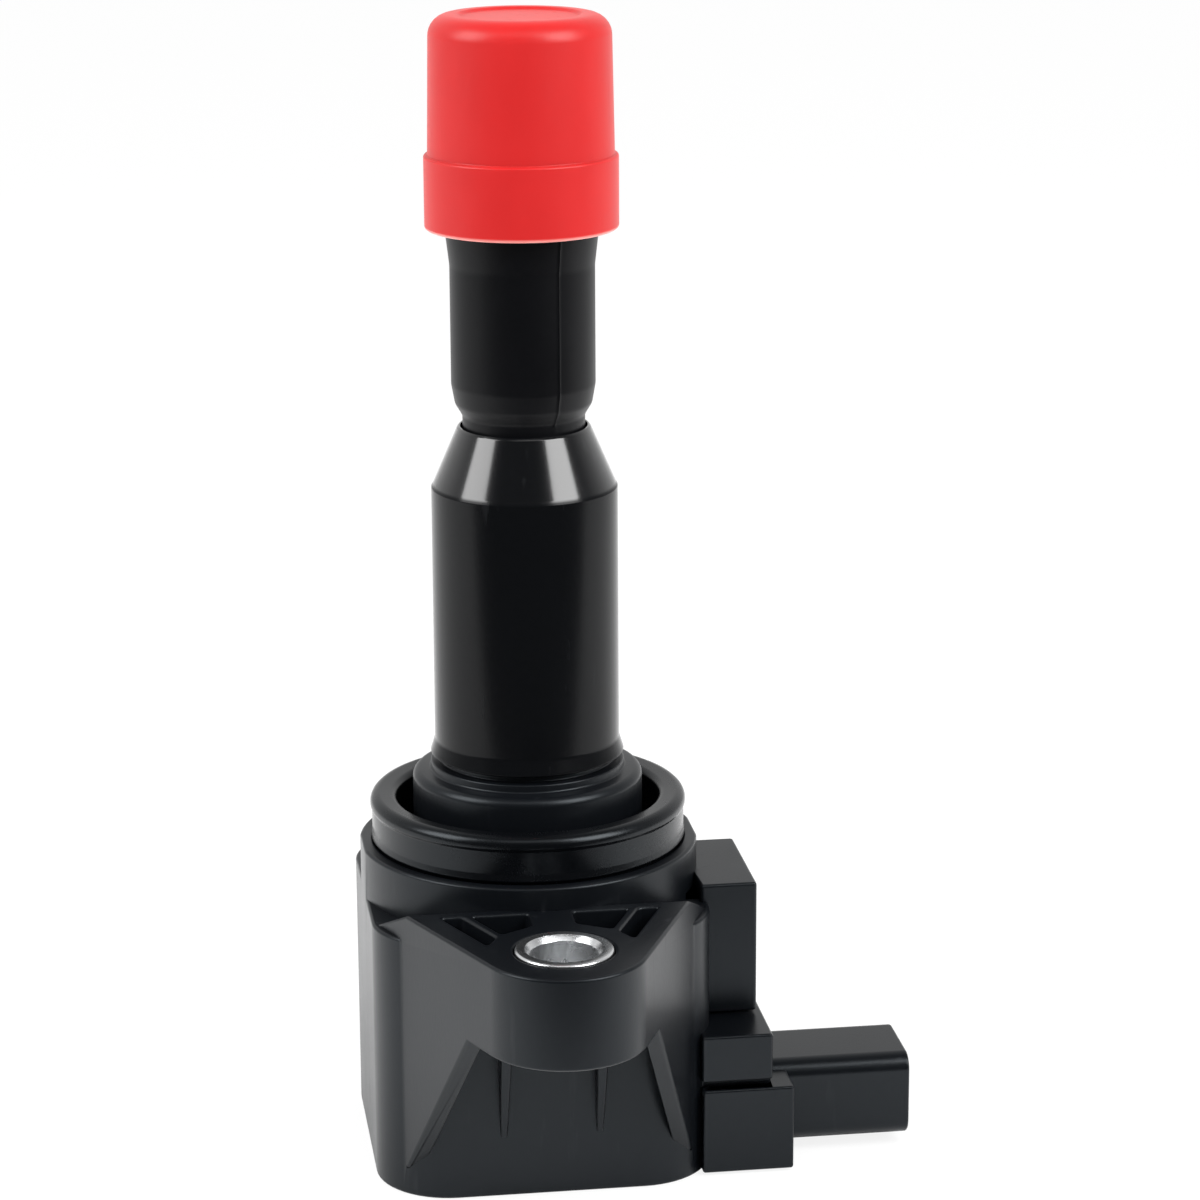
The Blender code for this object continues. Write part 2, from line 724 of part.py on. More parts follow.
def transformer(finishes):
    """The potted transformer: a bar core in two bobbins, closed by a ring core."""
    recess = GAP + POTTING_WALL
    potting_top = CAVITY_TOP - POTTING_TOP_SPACE
    potting = prism("potting_fill", cavity_outline(GAP), 0, potting_top, finishes["resin"])
    cut(potting, prism("recess", cavity_outline(recess), POTTING_FLOOR, CAVITY_TOP + HEAD_WALL))
    clear = recess + GAP + OUTER_CORE_CORNER_GAP
    ring_x, ring_front, ring_back = (
        half - clear for half in (CAVITY_HALF_WIDTH, CAVITY_FRONT, CAVITY_BACK)
    )
    centre_y = (ring_back - ring_front) / 2
    low, high = POTTING_FLOOR + GAP, CAVITY_TOP - WINDING_HEADROOM
    centre = (centre_y, (low + high) / 2)
    window_x = ring_x - OUTER_CORE_LEG
    window_y = (ring_front + ring_back) / 2 - OUTER_CORE_LEG
    heights = (centre[1] - OUTER_CORE_HALF_HEIGHT, centre[1] + OUTER_CORE_HALF_HEIGHT)
    ring = prism(
        "outer_core",
        rounded_rectangle((-ring_x, ring_x), (-ring_front, ring_back), HEAD_CORNER - HEAD_WALL),
        *heights,
        finishes["lamination"],
    )
    window = block(
        "window",
        (-window_x, window_x),
        (centre_y - window_y, centre_y + window_y),
        (heights[0] - HEAD_WALL, heights[1] + HEAD_WALL),
    )
    cut(ring, window)
    core_y = (centre_y - CORE_HALF, centre_y + CORE_HALF)
    core_z = (centre[1] - CORE_HALF, centre[1] + CORE_HALF)
    magnet_x = (-window_x + GAP, -window_x + GAP + MAGNET_THICKNESS)
    core_x = (magnet_x[1] + GAP, window_x - GAP)
    block("bias_magnet", magnet_x, core_y, core_z, finishes["magnet"])
    block("center_core", core_x, core_y, core_z, finishes["lamination"])

    bare = window_x - 2 * GAP - MAGNET_THICKNESS
    length = (-bare + GAP, bare)
    inner = CORE_HALF + GAP
    spool = inner + BOBBIN_WALL
    primary_flange = spool + GAP + PRIMARY_WINDING + WINDING_BELOW_FLANGE
    flange = (primary_flange, primary_flange)
    bobbin("primary_bobbin", length, inner, BOBBIN_WALL, flange, finishes["bobbin"], centre)
    wound = (length[0] + FLANGE_THICKNESS + GAP, length[1] - FLANGE_THICKNESS - GAP)
    wire = (spool + GAP, spool + GAP)
    outer = tuple(half + PRIMARY_WINDING for half in wire)
    sleeve("primary_winding", wound, wire, outer, finishes["copper"], centre)
    inner = primary_flange + GAP
    wire = (inner + SECONDARY_WALL + GAP,) * 2
    flange = (window_y - GAP, (high - low) / 2)
    bobbin("secondary_bobbin", length, inner, SECONDARY_WALL, flange, finishes["bobbin"], centre)
    outer = tuple(half - WINDING_BELOW_FLANGE for half in flange)
    sleeve("secondary_winding", wound, wire, outer, finishes["copper"], centre)
    return centre_y


def igniter_module(black):
    """The driver stage: a moulded card with a raised power chip, standing in the column."""
    x = (HEAD_HALF_WIDTH + 2 * GAP, COLUMN_SIDE - COLUMN_WALL - GAP)
    y = (-BAY_FRONT + 2 * GAP, BAY_BACK - 2 * GAP)
    z = (BLOCK_HEIGHT + 2 * GAP, COLUMN_TOP - COLUMN_WALL - GAP)
    card_side = x[0] + IGNITER_CARD
    card = block("igniter_module", (x[0], card_side), y, z, black)
    chip_y, chip_z = ((low + IGNITER_CHIP_RIM, high - IGNITER_CHIP_RIM) for low, high in (y, z))
    join(card, block("chip", (card_side - GAP, x[1]), chip_y, chip_z))
    return card


def high_voltage_path(finishes, winding_axis_y):
    foot = CAVITY_TOP - TERMINAL_FOOT
    head = SPIGOT_TOP + GAP
    terminal = [
        (0, foot),
        (TERMINAL_RADIUS, foot),
        (TERMINAL_RADIUS, head),
        (TERMINAL_HEAD_RADIUS, head),
        (TERMINAL_HEAD_RADIUS, TERMINAL_TOP),
        (0, TERMINAL_TOP),
    ]
    turned("high_voltage_terminal", terminal, finishes["brass"], facets=SMALL_FACETS)

    half = DIODE_LENGTH / 2
    ceramic = finishes["ceramic"]
    diode = rod("high_voltage_diode", DIODE_RADIUS, -half, half, ceramic, facets=DIODE_FACETS)
    diode.rotation_euler = (0, math.pi / 2, 0)
    diode.location = (
        TERMINAL_RADIUS + half + 3 * GAP,
        winding_axis_y,
        CAVITY_TOP - (WINDING_HEADROOM - GAP) / 2,
    )

    resistor = [
        (0, RESISTOR_BASE),
        (RESISTOR_CAP_RADIUS, RESISTOR_BASE),
        (RESISTOR_CAP_RADIUS, RESISTOR_BASE + RESISTOR_CAP_LENGTH),
        (RESISTOR_RADIUS, RESISTOR_BASE + RESISTOR_CAP_LENGTH),
        (RESISTOR_RADIUS, RESISTOR_TOP - RESISTOR_CAP_LENGTH),
        (RESISTOR_CAP_RADIUS, RESISTOR_TOP - RESISTOR_CAP_LENGTH),
        (RESISTOR_CAP_RADIUS, RESISTOR_TOP),
        (0, RESISTOR_TOP),
    ]
    turned("suppression_resistor", resistor, ceramic, facets=SMALL_FACETS)
    contact_spring(finishes["spring steel"])

    nose_base = CONTACT_BASE + CONTACT_FLANGE
    nose_top = nose_base + CONTACT_NOSE
    nose = [
        (0, CONTACT_BASE),
        (CONTACT_FLANGE_RADIUS, CONTACT_BASE),
        (CONTACT_FLANGE_RADIUS, nose_base),
        (CONTACT_NOSE_RADIUS, nose_base),
        (CONTACT_NOSE_RADIUS, nose_top - CONTACT_NOSE_CHAMFER),
        (CONTACT_NOSE_RADIUS - CONTACT_NOSE_CHAMFER, nose_top),
        (0, nose_top),
    ]
    turned("contact_cap", nose, finishes["brass"], facets=SMALL_FACETS, base=CONTACT_BASE)


def contact_spring(steel):
    """A helix of round wire between the resistor and the contact."""
    low = RESISTOR_TOP + GAP + SPRING_WIRE_RADIUS
    high = CONTACT_BASE - GAP - SPRING_WIRE_RADIUS
    steps = SPRING_TURNS * SPRING_STEPS_PER_TURN
    curve = bpy.data.curves.new("contact_spring", "CURVE")
    curve.dimensions = "3D"
    curve.bevel_depth = SPRING_WIRE_RADIUS
    curve.bevel_resolution = 1
    curve.use_fill_caps = True
    wire = curve.splines.new("POLY")
    wire.points.add(steps)
    for i, point in enumerate(wire.points):
        turn = 2 * math.pi * i / SPRING_STEPS_PER_TURN
        z = low + (high - low) * i / steps
        point.co = (SPRING_RADIUS * math.cos(turn), SPRING_RADIUS * math.sin(turn), z, 1)
    curve.materials.append(steel)
    spring = bpy.data.objects.new("contact_spring", curve)
    bpy.context.scene.collection.objects.link(spring)


def main():
    clear_scene()
    case_plastic = material("glass-filled plastic", (0.020, 0.022, 0.025), 0.45)
    tube_plastic = material("tube plastic", (0.011, 0.012, 0.014), 0.30)
    seal_rubber = material("seal rubber", (0.012, 0.012, 0.014), 0.42)
    boot_rubber = material("boot rubber", (0.010, 0.010, 0.012), 0.55)
    cap_plastic = material("red cap plastic", (0.80, 0.045, 0.050), 0.42)
    steel = material("zinc-plated steel", (0.70, 0.72, 0.75), 0.28, 1.0)
    tin = material("tinned copper", (0.78, 0.76, 0.70), 0.25, 1.0)
    finishes = {
        "resin": material("potting resin", (0.035, 0.034, 0.033), 0.35),
        "lamination": material("core lamination steel", (0.32, 0.33, 0.35), 0.45, 1.0),
        "magnet": material("ferrite magnet", (0.09, 0.09, 0.10), 0.55),
        "bobbin": material("bobbin plastic", (0.55, 0.52, 0.44), 0.50),
        "copper": material("enamelled copper", (0.62, 0.26, 0.11), 0.30, 1.0),
        "brass": material("nickel-plated brass", (0.72, 0.66, 0.50), 0.25, 1.0),
        "ceramic": material("ceramic", (0.60, 0.58, 0.53), 0.50),
        "spring steel": material("spring steel", (0.50, 0.51, 0.53), 0.30, 1.0),
    }
    coil_case(case_plastic)
    connector_body(case_plastic)
    for number, y in enumerate(pin_rows(), start=1):
        pin_shape(f"terminal_pin_{number}", y, 0, tin)
    case_seal(seal_rubber)
    mounting_bushing(steel)
    winding_axis_y = transformer(finishes)
    igniter_module(material("igniter housing", (0.03, 0.03, 0.035), 0.5))
    high_voltage_path(finishes, winding_axis_y)
    extension_tube(tube_plastic)
    plug_boot(boot_rubber)
    protective_cap(cap_plastic)


main()
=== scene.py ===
"""A plug-top ignition coil, standing on the open end of its head with its plug end up.

Units are metres. +Z runs along the tube towards the spark plug, +X towards the electrical
connector and -Y towards the mounting ear.
"""

import math

import bmesh
import bpy
from mathutils import Euler, Matrix, Vector


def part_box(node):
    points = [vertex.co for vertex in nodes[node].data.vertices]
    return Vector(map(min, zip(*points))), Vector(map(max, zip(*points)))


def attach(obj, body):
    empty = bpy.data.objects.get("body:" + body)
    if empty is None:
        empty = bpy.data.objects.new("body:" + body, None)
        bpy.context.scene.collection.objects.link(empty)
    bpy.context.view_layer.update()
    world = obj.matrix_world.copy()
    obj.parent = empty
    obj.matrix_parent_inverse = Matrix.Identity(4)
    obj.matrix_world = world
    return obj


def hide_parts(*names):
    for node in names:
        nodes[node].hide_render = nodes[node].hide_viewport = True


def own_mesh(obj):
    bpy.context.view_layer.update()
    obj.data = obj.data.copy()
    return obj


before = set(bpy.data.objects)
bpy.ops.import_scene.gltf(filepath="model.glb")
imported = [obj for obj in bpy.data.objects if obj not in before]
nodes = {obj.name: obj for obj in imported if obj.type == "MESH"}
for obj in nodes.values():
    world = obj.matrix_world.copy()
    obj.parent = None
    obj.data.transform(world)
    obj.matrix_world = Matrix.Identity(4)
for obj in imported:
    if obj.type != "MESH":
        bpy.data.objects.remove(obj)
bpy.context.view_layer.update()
MM = 0.001

# ---------------------------------------------------------------------------------------
# Camera. It stands a little left of the mounting ear and above it, on a long lens, and
# its frame just holds the whole coil.

standpoint = (-53.68 * MM, -448.91 * MM, 193.86 * MM)
pitch, pan, roll = math.radians(74.758), math.radians(-8.0), math.radians(-0.288)
aim = Euler((pitch, 0, pan)).to_matrix() @ Matrix.Rotation(roll, 3, "Z")
bpy.ops.object.camera_add(location=standpoint, rotation=aim.to_euler())
camera = bpy.context.active_object
camera.data.lens = 112.08
camera.data.sensor_width = 36.0
camera.data.clip_start = 0.01
bpy.context.scene.camera = camera

# ---------------------------------------------------------------------------------------
# Table and light. A pale matt table runs from just in front of the coil far behind it,
# in an even white room. An upright soft box stands at each side and a wide, weak one
# hangs in front, so that the dark plastic shows its form by reflections.


class Wire:
    """A node's output. Python's operators on it add Math nodes."""

    def __init__(self, paint, socket):
        self.paint = paint
        self.socket = socket

    def math(self, operation, *values):
        return self.paint.node("ShaderNodeMath", {"operation": operation}, dict(enumerate(values)))

    def __add__(self, other):
        return self.math("ADD", self, other)

    def __sub__(self, other):
        return self.math("SUBTRACT", self, other)

    def __rsub__(self, other):
        return self.math("SUBTRACT", other, self)

    def __mul__(self, other):
        return self.math("MULTIPLY", self, other)

    def __abs__(self):
        return self.math("ABSOLUTE", self)

    __radd__ = __add__
    __rmul__ = __mul__

    def between(self, low, high):
        """0 at low, 1 at high, and held there beyond."""
        settings = {"clamp": True}
        return self.paint.node("ShaderNodeMapRange", settings, {0: self, 1: low, 2: high})


class Paint:
    """The nodes of one material, or of the room's light."""

    def __init__(self, owner):
        owner.use_nodes = True
        self.tree = owner.node_tree

    def node(self, kind, settings, sockets, output=0):
        made = self.tree.nodes.new(kind)
        for setting, value in settings.items():
            setattr(made, setting, value)
        self.feed(made, sockets)
        return Wire(self, made.outputs[output])

    def feed(self, node, sockets):
        for socket, value in sockets.items():
            if isinstance(value, Wire):
                self.tree.links.new(value.socket, node.inputs[socket])
            else:
                node.inputs[socket].default_value = value

    def tint(self, first, second, share):
        """The first colour where the share is 0, and the second where it is 1."""
        sockets = {0: share, 6: first, 7: second}
        return self.node("ShaderNodeMix", {"data_type": "RGBA"}, sockets, output=2)


def grey(level):
    return (level, level, level, 1.0)


world = bpy.data.worlds.new("room")
bpy.context.scene.world = world
room = Paint(world)
direction = room.node("ShaderNodeTexCoord", {}, {})
across, ahead = (room.node("ShaderNodeSeparateXYZ", {}, {0: direction}, axis) for axis in (0, 1))
lit_walls = ahead.between(-0.1, 0.6) + abs(across).between(0.75, 1.0) * 0.35
mirrored = room.tint(grey(0.025), grey(0.85), lit_walls)
is_reflection = room.node("ShaderNodeLightPath", {}, {}, output=3)
seen = room.tint(grey(1.0), mirrored, is_reflection)
room.feed(world.node_tree.nodes["Background"], {"Color": seen})

table_front, table_size, table_gap = -0.115, 6.0, 0.05 * MM
bpy.ops.mesh.primitive_plane_add(size=1)
table = bpy.context.active_object
table.name = "table"
table.dimensions = (table_size, table_size, 0)
table.location = (0, table_front + table_size / 2, -table_gap)
bpy.ops.object.transform_apply()
table_finish = Paint(bpy.data.materials.new("pale table"))
table.data.materials.append(bpy.data.materials["pale table"])
matt = table_finish.tree.nodes["Principled BSDF"]
table_finish.feed(matt, {"Base Color": grey(0.90), "Roughness": 0.9, "Specular IOR Level": 0.1})
glow = table_finish.node("ShaderNodeEmission", {}, {"Color": grey(1.0)})
washed_out = table_finish.node("ShaderNodeLightPath", {}, {}) * 0.85
lit = Wire(table_finish, matt.outputs[0])
blended = table_finish.node("ShaderNodeMixShader", {}, {0: washed_out, 1: lit, 2: glow})
table_finish.feed(table_finish.tree.nodes["Material Output"], {"Surface": blended})

# Each soft box: its turn from straight ahead and its height in degrees, its distance, its
# width and height, and its power.
target, straight_ahead = Vector((0, 0, 70 * MM)), -98
for turn, height, distance, width, tall, watts in (
    (-70, 36, 0.55, 0.30, 0.34, 2.7),
    (58, 36, 0.55, 0.30, 0.34, 3.3),
    (10, 58, 0.70, 0.60, 0.30, 0.8),
):
    level = math.radians(height)
    heading = math.radians(straight_ahead + turn)
    flat_out = Vector((math.cos(heading), math.sin(heading), 0)) * math.cos(level)
    out = flat_out + Vector((0, 0, math.sin(level)))
    bpy.ops.object.light_add(type="AREA", location=target + distance * out)
    box = bpy.context.active_object
    box.rotation_euler = out.to_track_quat("Z", "Y").to_euler()
    box.data.shape = "RECTANGLE"
    box.data.size, box.data.size_y = width, tall
    box.data.energy = watts

bpy.context.scene.view_settings.view_transform = "Standard"

# ---------------------------------------------------------------------------------------
# Coil case. One moulding in black glass-filled plastic: the square head, the collar for
# the seal, the mounting ear on two webs and the upright column beside the connector. Its
# edges are rounded by the mould, and its surface is satin with a faint flow of fibres.


def open_mesh(obj):
    """Opens one object in edit mode, with nothing in it selected."""
    bpy.ops.object.select_all(action="DESELECT")
    obj.select_set(True)
    bpy.context.view_layer.objects.active = obj
    bpy.ops.object.mode_set(mode="EDIT")
    bpy.ops.mesh.select_mode(type="VERT")
    bpy.ops.mesh.select_all(action="DESELECT")


def close_mesh():
    bpy.ops.object.mode_set(mode="OBJECT")


def pick(kind, test):
    """Selects the faces, edges or points that pass the test, and nothing else."""
    bpy.ops.mesh.select_mode(type={"faces": "FACE", "edges": "EDGE", "verts": "VERT"}[kind])
    bpy.ops.mesh.select_all(action="DESELECT")
    mesh = bpy.context.edit_object.data
    shape = bmesh.from_edit_mesh(mesh)
    for part in getattr(shape, kind):
        if test(part):
            part.select_set(True)
    bmesh.update_edit_mesh(mesh)


def settle(obj):
    """Puts the object's place and size into its mesh."""
    bpy.ops.object.select_all(action="DESELECT")
    obj.select_set(True)
    bpy.context.view_layer.objects.active = obj
    bpy.ops.object.transform_apply()
    return obj


def runs_along(edge, axis):
    return abs((edge.verts[1].co - edge.verts[0].co).normalized()[axis]) > 0.999


def slab(name, x, y, z, corner=0.0, axis=2, steps=10):
    """A cube stretched between pairs of planes, its four edges along one axis rounded."""
    bpy.ops.mesh.primitive_cube_add(size=1, location=[sum(pair) / 2 for pair in (x, y, z)])
    obj = bpy.context.active_object
    obj.name = name
    obj.scale = [pair[1] - pair[0] for pair in (x, y, z)]
    settle(obj)
    if corner:
        open_mesh(obj)
        pick("edges", lambda edge: runs_along(edge, axis))
        bpy.ops.mesh.bevel(offset=corner, segments=steps, clamp_overlap=False)
        close_mesh()
    return obj


def drum(name, radius, z, centre=(0.0, 0.0), sides=128):
    bpy.ops.mesh.primitive_cylinder_add(
        vertices=sides, radius=radius, depth=z[1] - z[0], location=(*centre, (z[0] + z[1]) / 2)
    )
    obj = bpy.context.active_object
    obj.name = name
    return settle(obj)


def trace(name, points):
    """A line drawn from point to point by extruding its end, starting from a bare point."""
    bpy.ops.mesh.primitive_plane_add(size=MM)
    obj = bpy.context.active_object
    obj.name = name
    open_mesh(obj)
    bpy.ops.mesh.select_all(action="SELECT")
    bpy.ops.mesh.merge(type="CENTER")
    last = Vector(points[0])
    bpy.ops.transform.translate(value=last)
    for point in map(Vector, points[1:]):
        bpy.ops.mesh.extrude_region_move(TRANSFORM_OT_translate={"value": point - last})
        last = point
    return obj


def plate(name, outline, low, high, axis=2):
    """The closed outline, drawn at low and pulled up to high along the axis."""

    def placed(a, b, c):
        return {0: (c, a, b), 1: (a, c, b), 2: (a, b, c)}[axis]

    obj = trace(name, [placed(a, b, low) for a, b in outline])
    bpy.ops.mesh.select_all(action="SELECT")
    bpy.ops.mesh.edge_face_add()
    rise = placed(0, 0, high - low)
    bpy.ops.mesh.extrude_region_move(TRANSFORM_OT_translate={"value": rise})
    bpy.ops.mesh.select_all(action="SELECT")
    bpy.ops.mesh.normals_make_consistent(inside=False)
    close_mesh()
    return obj


def carve(target, operation, *tools):
    """Joins the tools to the target, or cuts them from it, and clears them away."""
    for tool in tools:
        step = target.modifiers.new(operation.title(), "BOOLEAN")
        step.operation = operation
        step.object = tool
        bpy.context.view_layer.objects.active = target
        bpy.ops.object.modifier_apply(modifier=step.name)
        bpy.data.objects.remove(tool)


def clean(obj):
    """Merges doubled points and melts the flat faces that cuts have left in strips."""
    open_mesh(obj)
    bpy.ops.mesh.select_all(action="SELECT")
    bpy.ops.mesh.remove_doubles(threshold=0.002 * MM)
    bpy.ops.mesh.dissolve_limited(angle_limit=math.radians(0.4))
    close_mesh()


def is_sharp(edge, degrees=28.0):
    """Whether a mould would round the edge: it stands out, and its faces turn sharply."""
    return edge.is_convex and edge.calc_face_angle(0.0) > math.radians(degrees)


def round_edges(obj, radius, test=is_sharp, steps=3):
    """Rounds the picked edges and merges what the rounding has brought together."""
    open_mesh(obj)
    pick("edges", test)
    bpy.ops.mesh.bevel(offset=radius, segments=steps, clamp_overlap=False, loop_slide=True)
    bpy.ops.mesh.select_all(action="SELECT")
    bpy.ops.mesh.remove_doubles(threshold=0.002 * MM)
    close_mesh()


def smooth(obj, degrees=38.0):
    """Shades the piece smooth, with its flat faces kept flat beside their rounded edges."""
    bpy.ops.object.select_all(action="DESELECT")
    obj.select_set(True)
    bpy.context.view_layer.objects.active = obj
    bpy.ops.object.shade_smooth_by_angle(angle=math.radians(degrees))
    weighted = obj.modifiers.new("flat faces", "WEIGHTED_NORMAL")
    weighted.keep_sharp = True
    bpy.ops.object.modifier_apply(modifier=weighted.name)


case_low, case_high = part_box("coil_case")
seal_low, seal_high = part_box("case_seal")
bushing_low, bushing_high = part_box("mounting_bushing")
connector_low, connector_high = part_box("connector_body")
gap = 0.3 * MM

head_side, head_back, head_front = -case_low.x, case_high.y, 22.0 * MM
head_corner, head_top, head_wall = 9.5 * MM, 33.7 * MM, 2.2 * MM
collar_radius, collar_top, edge_radius = 21.45 * MM, 40.0 * MM, 0.4 * MM

case = slab(
    "case", (-head_side, head_side), (-head_front, head_back), (0, head_top), head_corner, steps=14
)
round_edges(case, edge_radius, steps=4)
collar = drum("collar", collar_radius, (head_top - head_wall, collar_top), sides=160)
open_mesh(collar)
for side in (Vector((1, 0, 0)), Vector((-1, 0, 0)), Vector((0, 1, 0))):
    bpy.ops.mesh.select_all(action="SELECT")
    reach = head_back if side.y else head_side
    bpy.ops.mesh.bisect(plane_co=side * reach, plane_no=side, use_fill=True, clear_outer=True)
close_mesh()
carve(case, "UNION", collar)

# The ear: a round tip about the bushing and two straight flanks that widen to the head.
ear_y = (bushing_low.y + bushing_high.y) / 2
ear_tip = ear_y - case_low.y
ear_flank = math.radians(24.0)
ear_top, ear_base = bushing_high.z - 0.2 * MM, bushing_low.z + 0.2 * MM
ear_back, ear_root = -20.5 * MM, -13.2 * MM
web_wall, web_foot, web_front = 2.0 * MM, 3.5 * MM, 33.9 * MM


def ear_outline(inset, back, steps=22):
    """The ear seen from above, drawn that far inside its edge."""
    radius = ear_tip - inset
    corner_x = radius / math.cos(ear_flank) + (back - ear_y) * math.tan(ear_flank)
    first, last = math.pi + ear_flank, 2 * math.pi - ear_flank
    turns = [first + (last - first) * step / steps for step in range(steps + 1)]
    tip = [(radius * math.cos(turn), ear_y + radius * math.sin(turn)) for turn in turns]
    return [(-corner_x, back), *tip, (corner_x, back)]


ear = plate("ear", ear_outline(0, ear_root), web_foot, ear_top)
slope_run = 2 * (ear_top - head_top)
behind = [
    (ear_back, ear_top),
    (ear_back + slope_run * 1.4, ear_top - slope_run * 0.7),
    (ear_back + slope_run * 1.4, ear_top + head_wall),
    (ear_back, ear_top + head_wall),
]
below = [
    (-web_front, ear_base),
    (head_wall - head_front, web_foot),
    (head_wall - head_front, -head_wall),
    (2 * case_low.y, -head_wall),
    (2 * case_low.y, ear_base),
]
hollow = plate("hollow", ear_outline(web_wall, head_wall / 2 - head_front), -head_wall, ear_base)
carve(
    ear,
    "DIFFERENCE",
    plate("behind", behind, -2 * head_side, 2 * head_side, axis=0),
    plate("below", below, -2 * head_side, 2 * head_side, axis=0),
    hollow,
)

column_side, column_inset, column_top = case_high.x, 0.9 * MM, 36.0 * MM
column_front, column_back, column_wall = -12.1 * MM, connector_high.y, 1.5 * MM
block_top = connector_high.z
column = slab(
    "column",
    (head_side - column_inset, column_side),
    (column_front, column_back),
    (block_top + gap, column_top),
)
carve(case, "UNION", ear, column)

# Hollows: the seal's seat, the bushing's hole, four cored pockets, and the open inside.
seat_radius, seat_floor = 19.7 * MM, seal_low.z - gap
bushing_radius = bushing_high.x
hole_radius = bushing_radius + 0.15 * MM
carve(
    case,
    "DIFFERENCE",
    drum("seat", seat_radius, (seat_floor, collar_top + head_wall), sides=160),
    drum("hole", hole_radius, (ear_base - head_wall, ear_top + head_wall), (0, ear_y), 96),
)

pocket_floor, pocket_rim, pocket_width, pocket_rib = ear_top - 6 * MM, 3.3 * MM, 2.3 * MM, 1.1 * MM
boss_radius, pocket_back, nose_half = bushing_radius + 3.4 * MM, ear_back - 1.3 * MM, 2.7 * MM


def flank_x(inset, y):
    return (ear_tip - inset) / math.cos(ear_flank) + (y - ear_y) * math.tan(ear_flank)


def flank_at_boss(inset):
    """Where a line inside the flank leaves the round boss about the bushing."""
    foot = ear_tip - inset
    along = math.sqrt(boss_radius**2 - foot**2)
    x = foot * math.cos(ear_flank) + along * math.sin(ear_flank)
    return x, ear_y - foot * math.sin(ear_flank) + along * math.cos(ear_flank)


for side in (-1, 1):
    outer, inner = pocket_rim + pocket_width, pocket_rim + pocket_width + pocket_rib
    by_flank = [
        (flank_x(pocket_rim, pocket_back), pocket_back),
        flank_at_boss(pocket_rim),
        flank_at_boss(outer),
        (flank_x(outer, pocket_back), pocket_back),
    ]
    by_nose = [
        (flank_x(inner, pocket_back), pocket_back),
        flank_at_boss(inner),
        (nose_half, ear_y + math.sqrt(boss_radius**2 - nose_half**2)),
        (nose_half, pocket_back),
    ]
    for outline in (by_flank, by_nose):
        mirrored_outline = [(side * x, y) for x, y in outline]
        pocket = plate("pocket", mirrored_outline, pocket_floor, ear_top + head_wall)
        open_mesh(pocket)
        pick("edges", lambda edge: runs_along(edge, 2))
        bpy.ops.mesh.bevel(offset=0.5 * MM, segments=4)
        close_mesh()
        carve(case, "DIFFERENCE", pocket)

cavity_top, cavity_corner = head_top - 2.7 * MM, head_corner - head_wall
bay_front, bay_back = column_front + column_wall, column_back - column_wall
carve(
    case,
    "DIFFERENCE",
    slab(
        "cavity",
        (head_wall - head_side, head_side - head_wall),
        (head_wall - head_front, head_back - head_wall),
        (-head_wall, cavity_top),
        cavity_corner,
    ),
    slab(
        "bay",
        (head_side - 2 * head_wall, column_side - column_wall),
        (bay_front, bay_back),
        (-head_wall, column_top - column_wall),
    ),
)


def is_new_edge(edge):
    """Sharp, and not in the outline of the head's top, which is rounded already."""
    by_top = all(abs(point.co.z - head_top) < 2 * edge_radius for point in edge.verts)
    return is_sharp(edge) and not by_top


clean(case)
round_edges(case, edge_radius, is_new_edge)

# Two ribs stand on the front wall under the ear. Each fades into the wall on its way down.
rib_x, rib_width, rib_foot, rib_reach = 6.0 * MM, 1.8 * MM, 7.8 * MM, 6.0 * MM
for side in (-1, 1):
    rib = slab(
        "rib",
        (side * rib_x - rib_width / 2, side * rib_x + rib_width / 2),
        (-head_front - rib_reach, head_wall / 2 - head_front),
        (rib_foot, ear_base + head_wall),
    )
    open_mesh(rib)
    pick("verts", lambda point: point.co.z < rib_foot + gap and point.co.y < -head_front)
    bpy.ops.transform.translate(value=(0, rib_reach - 0.1 * MM, 0))
    pick("verts", lambda point: point.co.z < rib_foot + gap)
    foot_centre = (side * rib_x, -head_front, rib_foot)
    bpy.ops.transform.resize(value=(0.5, 1, 1), center_override=foot_centre)
    pick("edges", lambda edge: all(point.co.y < gap - head_front for point in edge.verts))
    bpy.ops.mesh.bevel(offset=0.3 * MM, segments=3, clamp_overlap=False)
    close_mesh()
    carve(case, "UNION", rib)


def turned(name, outline, centre=(0.0, 0.0), steps=128):
    """The (radius, height) outline spun round an upright axis. It runs from the axis to
    the axis, or else closes on itself."""
    points = [*outline, outline[0]] if outline[0][0] > 0 else outline
    obj = trace(name, [(centre[0] + radius, centre[1], z) for radius, z in points])
    bpy.ops.mesh.select_all(action="SELECT")
    bpy.ops.mesh.spin(steps=steps, angle=2 * math.pi, center=(*centre, 0), axis=(0, 0, 1))
    bpy.ops.mesh.select_all(action="SELECT")
    bpy.ops.mesh.remove_doubles(threshold=0.001 * MM)
    bpy.ops.mesh.select_all(action="SELECT")
    bpy.ops.mesh.normals_make_consistent(inside=False)
    close_mesh()
    return obj


def eased(corners, steps=5):
    """An outline's (a, b, radius) corners as points, each corner rounded to its radius."""
    points = []
    neighbours = zip([corners[-1], *corners], corners, [*corners[1:], corners[0]])
    for before, here, after in neighbours:
        spot = Vector(here[:2])
        if not here[2]:
            points.append(tuple(spot))
            continue
        back, on = ((Vector(end[:2]) - spot).normalized() for end in (before, after))
        half = back.angle(on) / 2
        heart = spot + (back + on).normalized() * here[2] / math.sin(half)
        first = spot + back * here[2] / math.tan(half) - heart
        last = spot + on * here[2] / math.tan(half) - heart
        for step in range(steps + 1):
            share = step / steps
            between = first * (1 - share) + last * share
            points.append(tuple(heart + between.normalized() * here[2]))
    return points


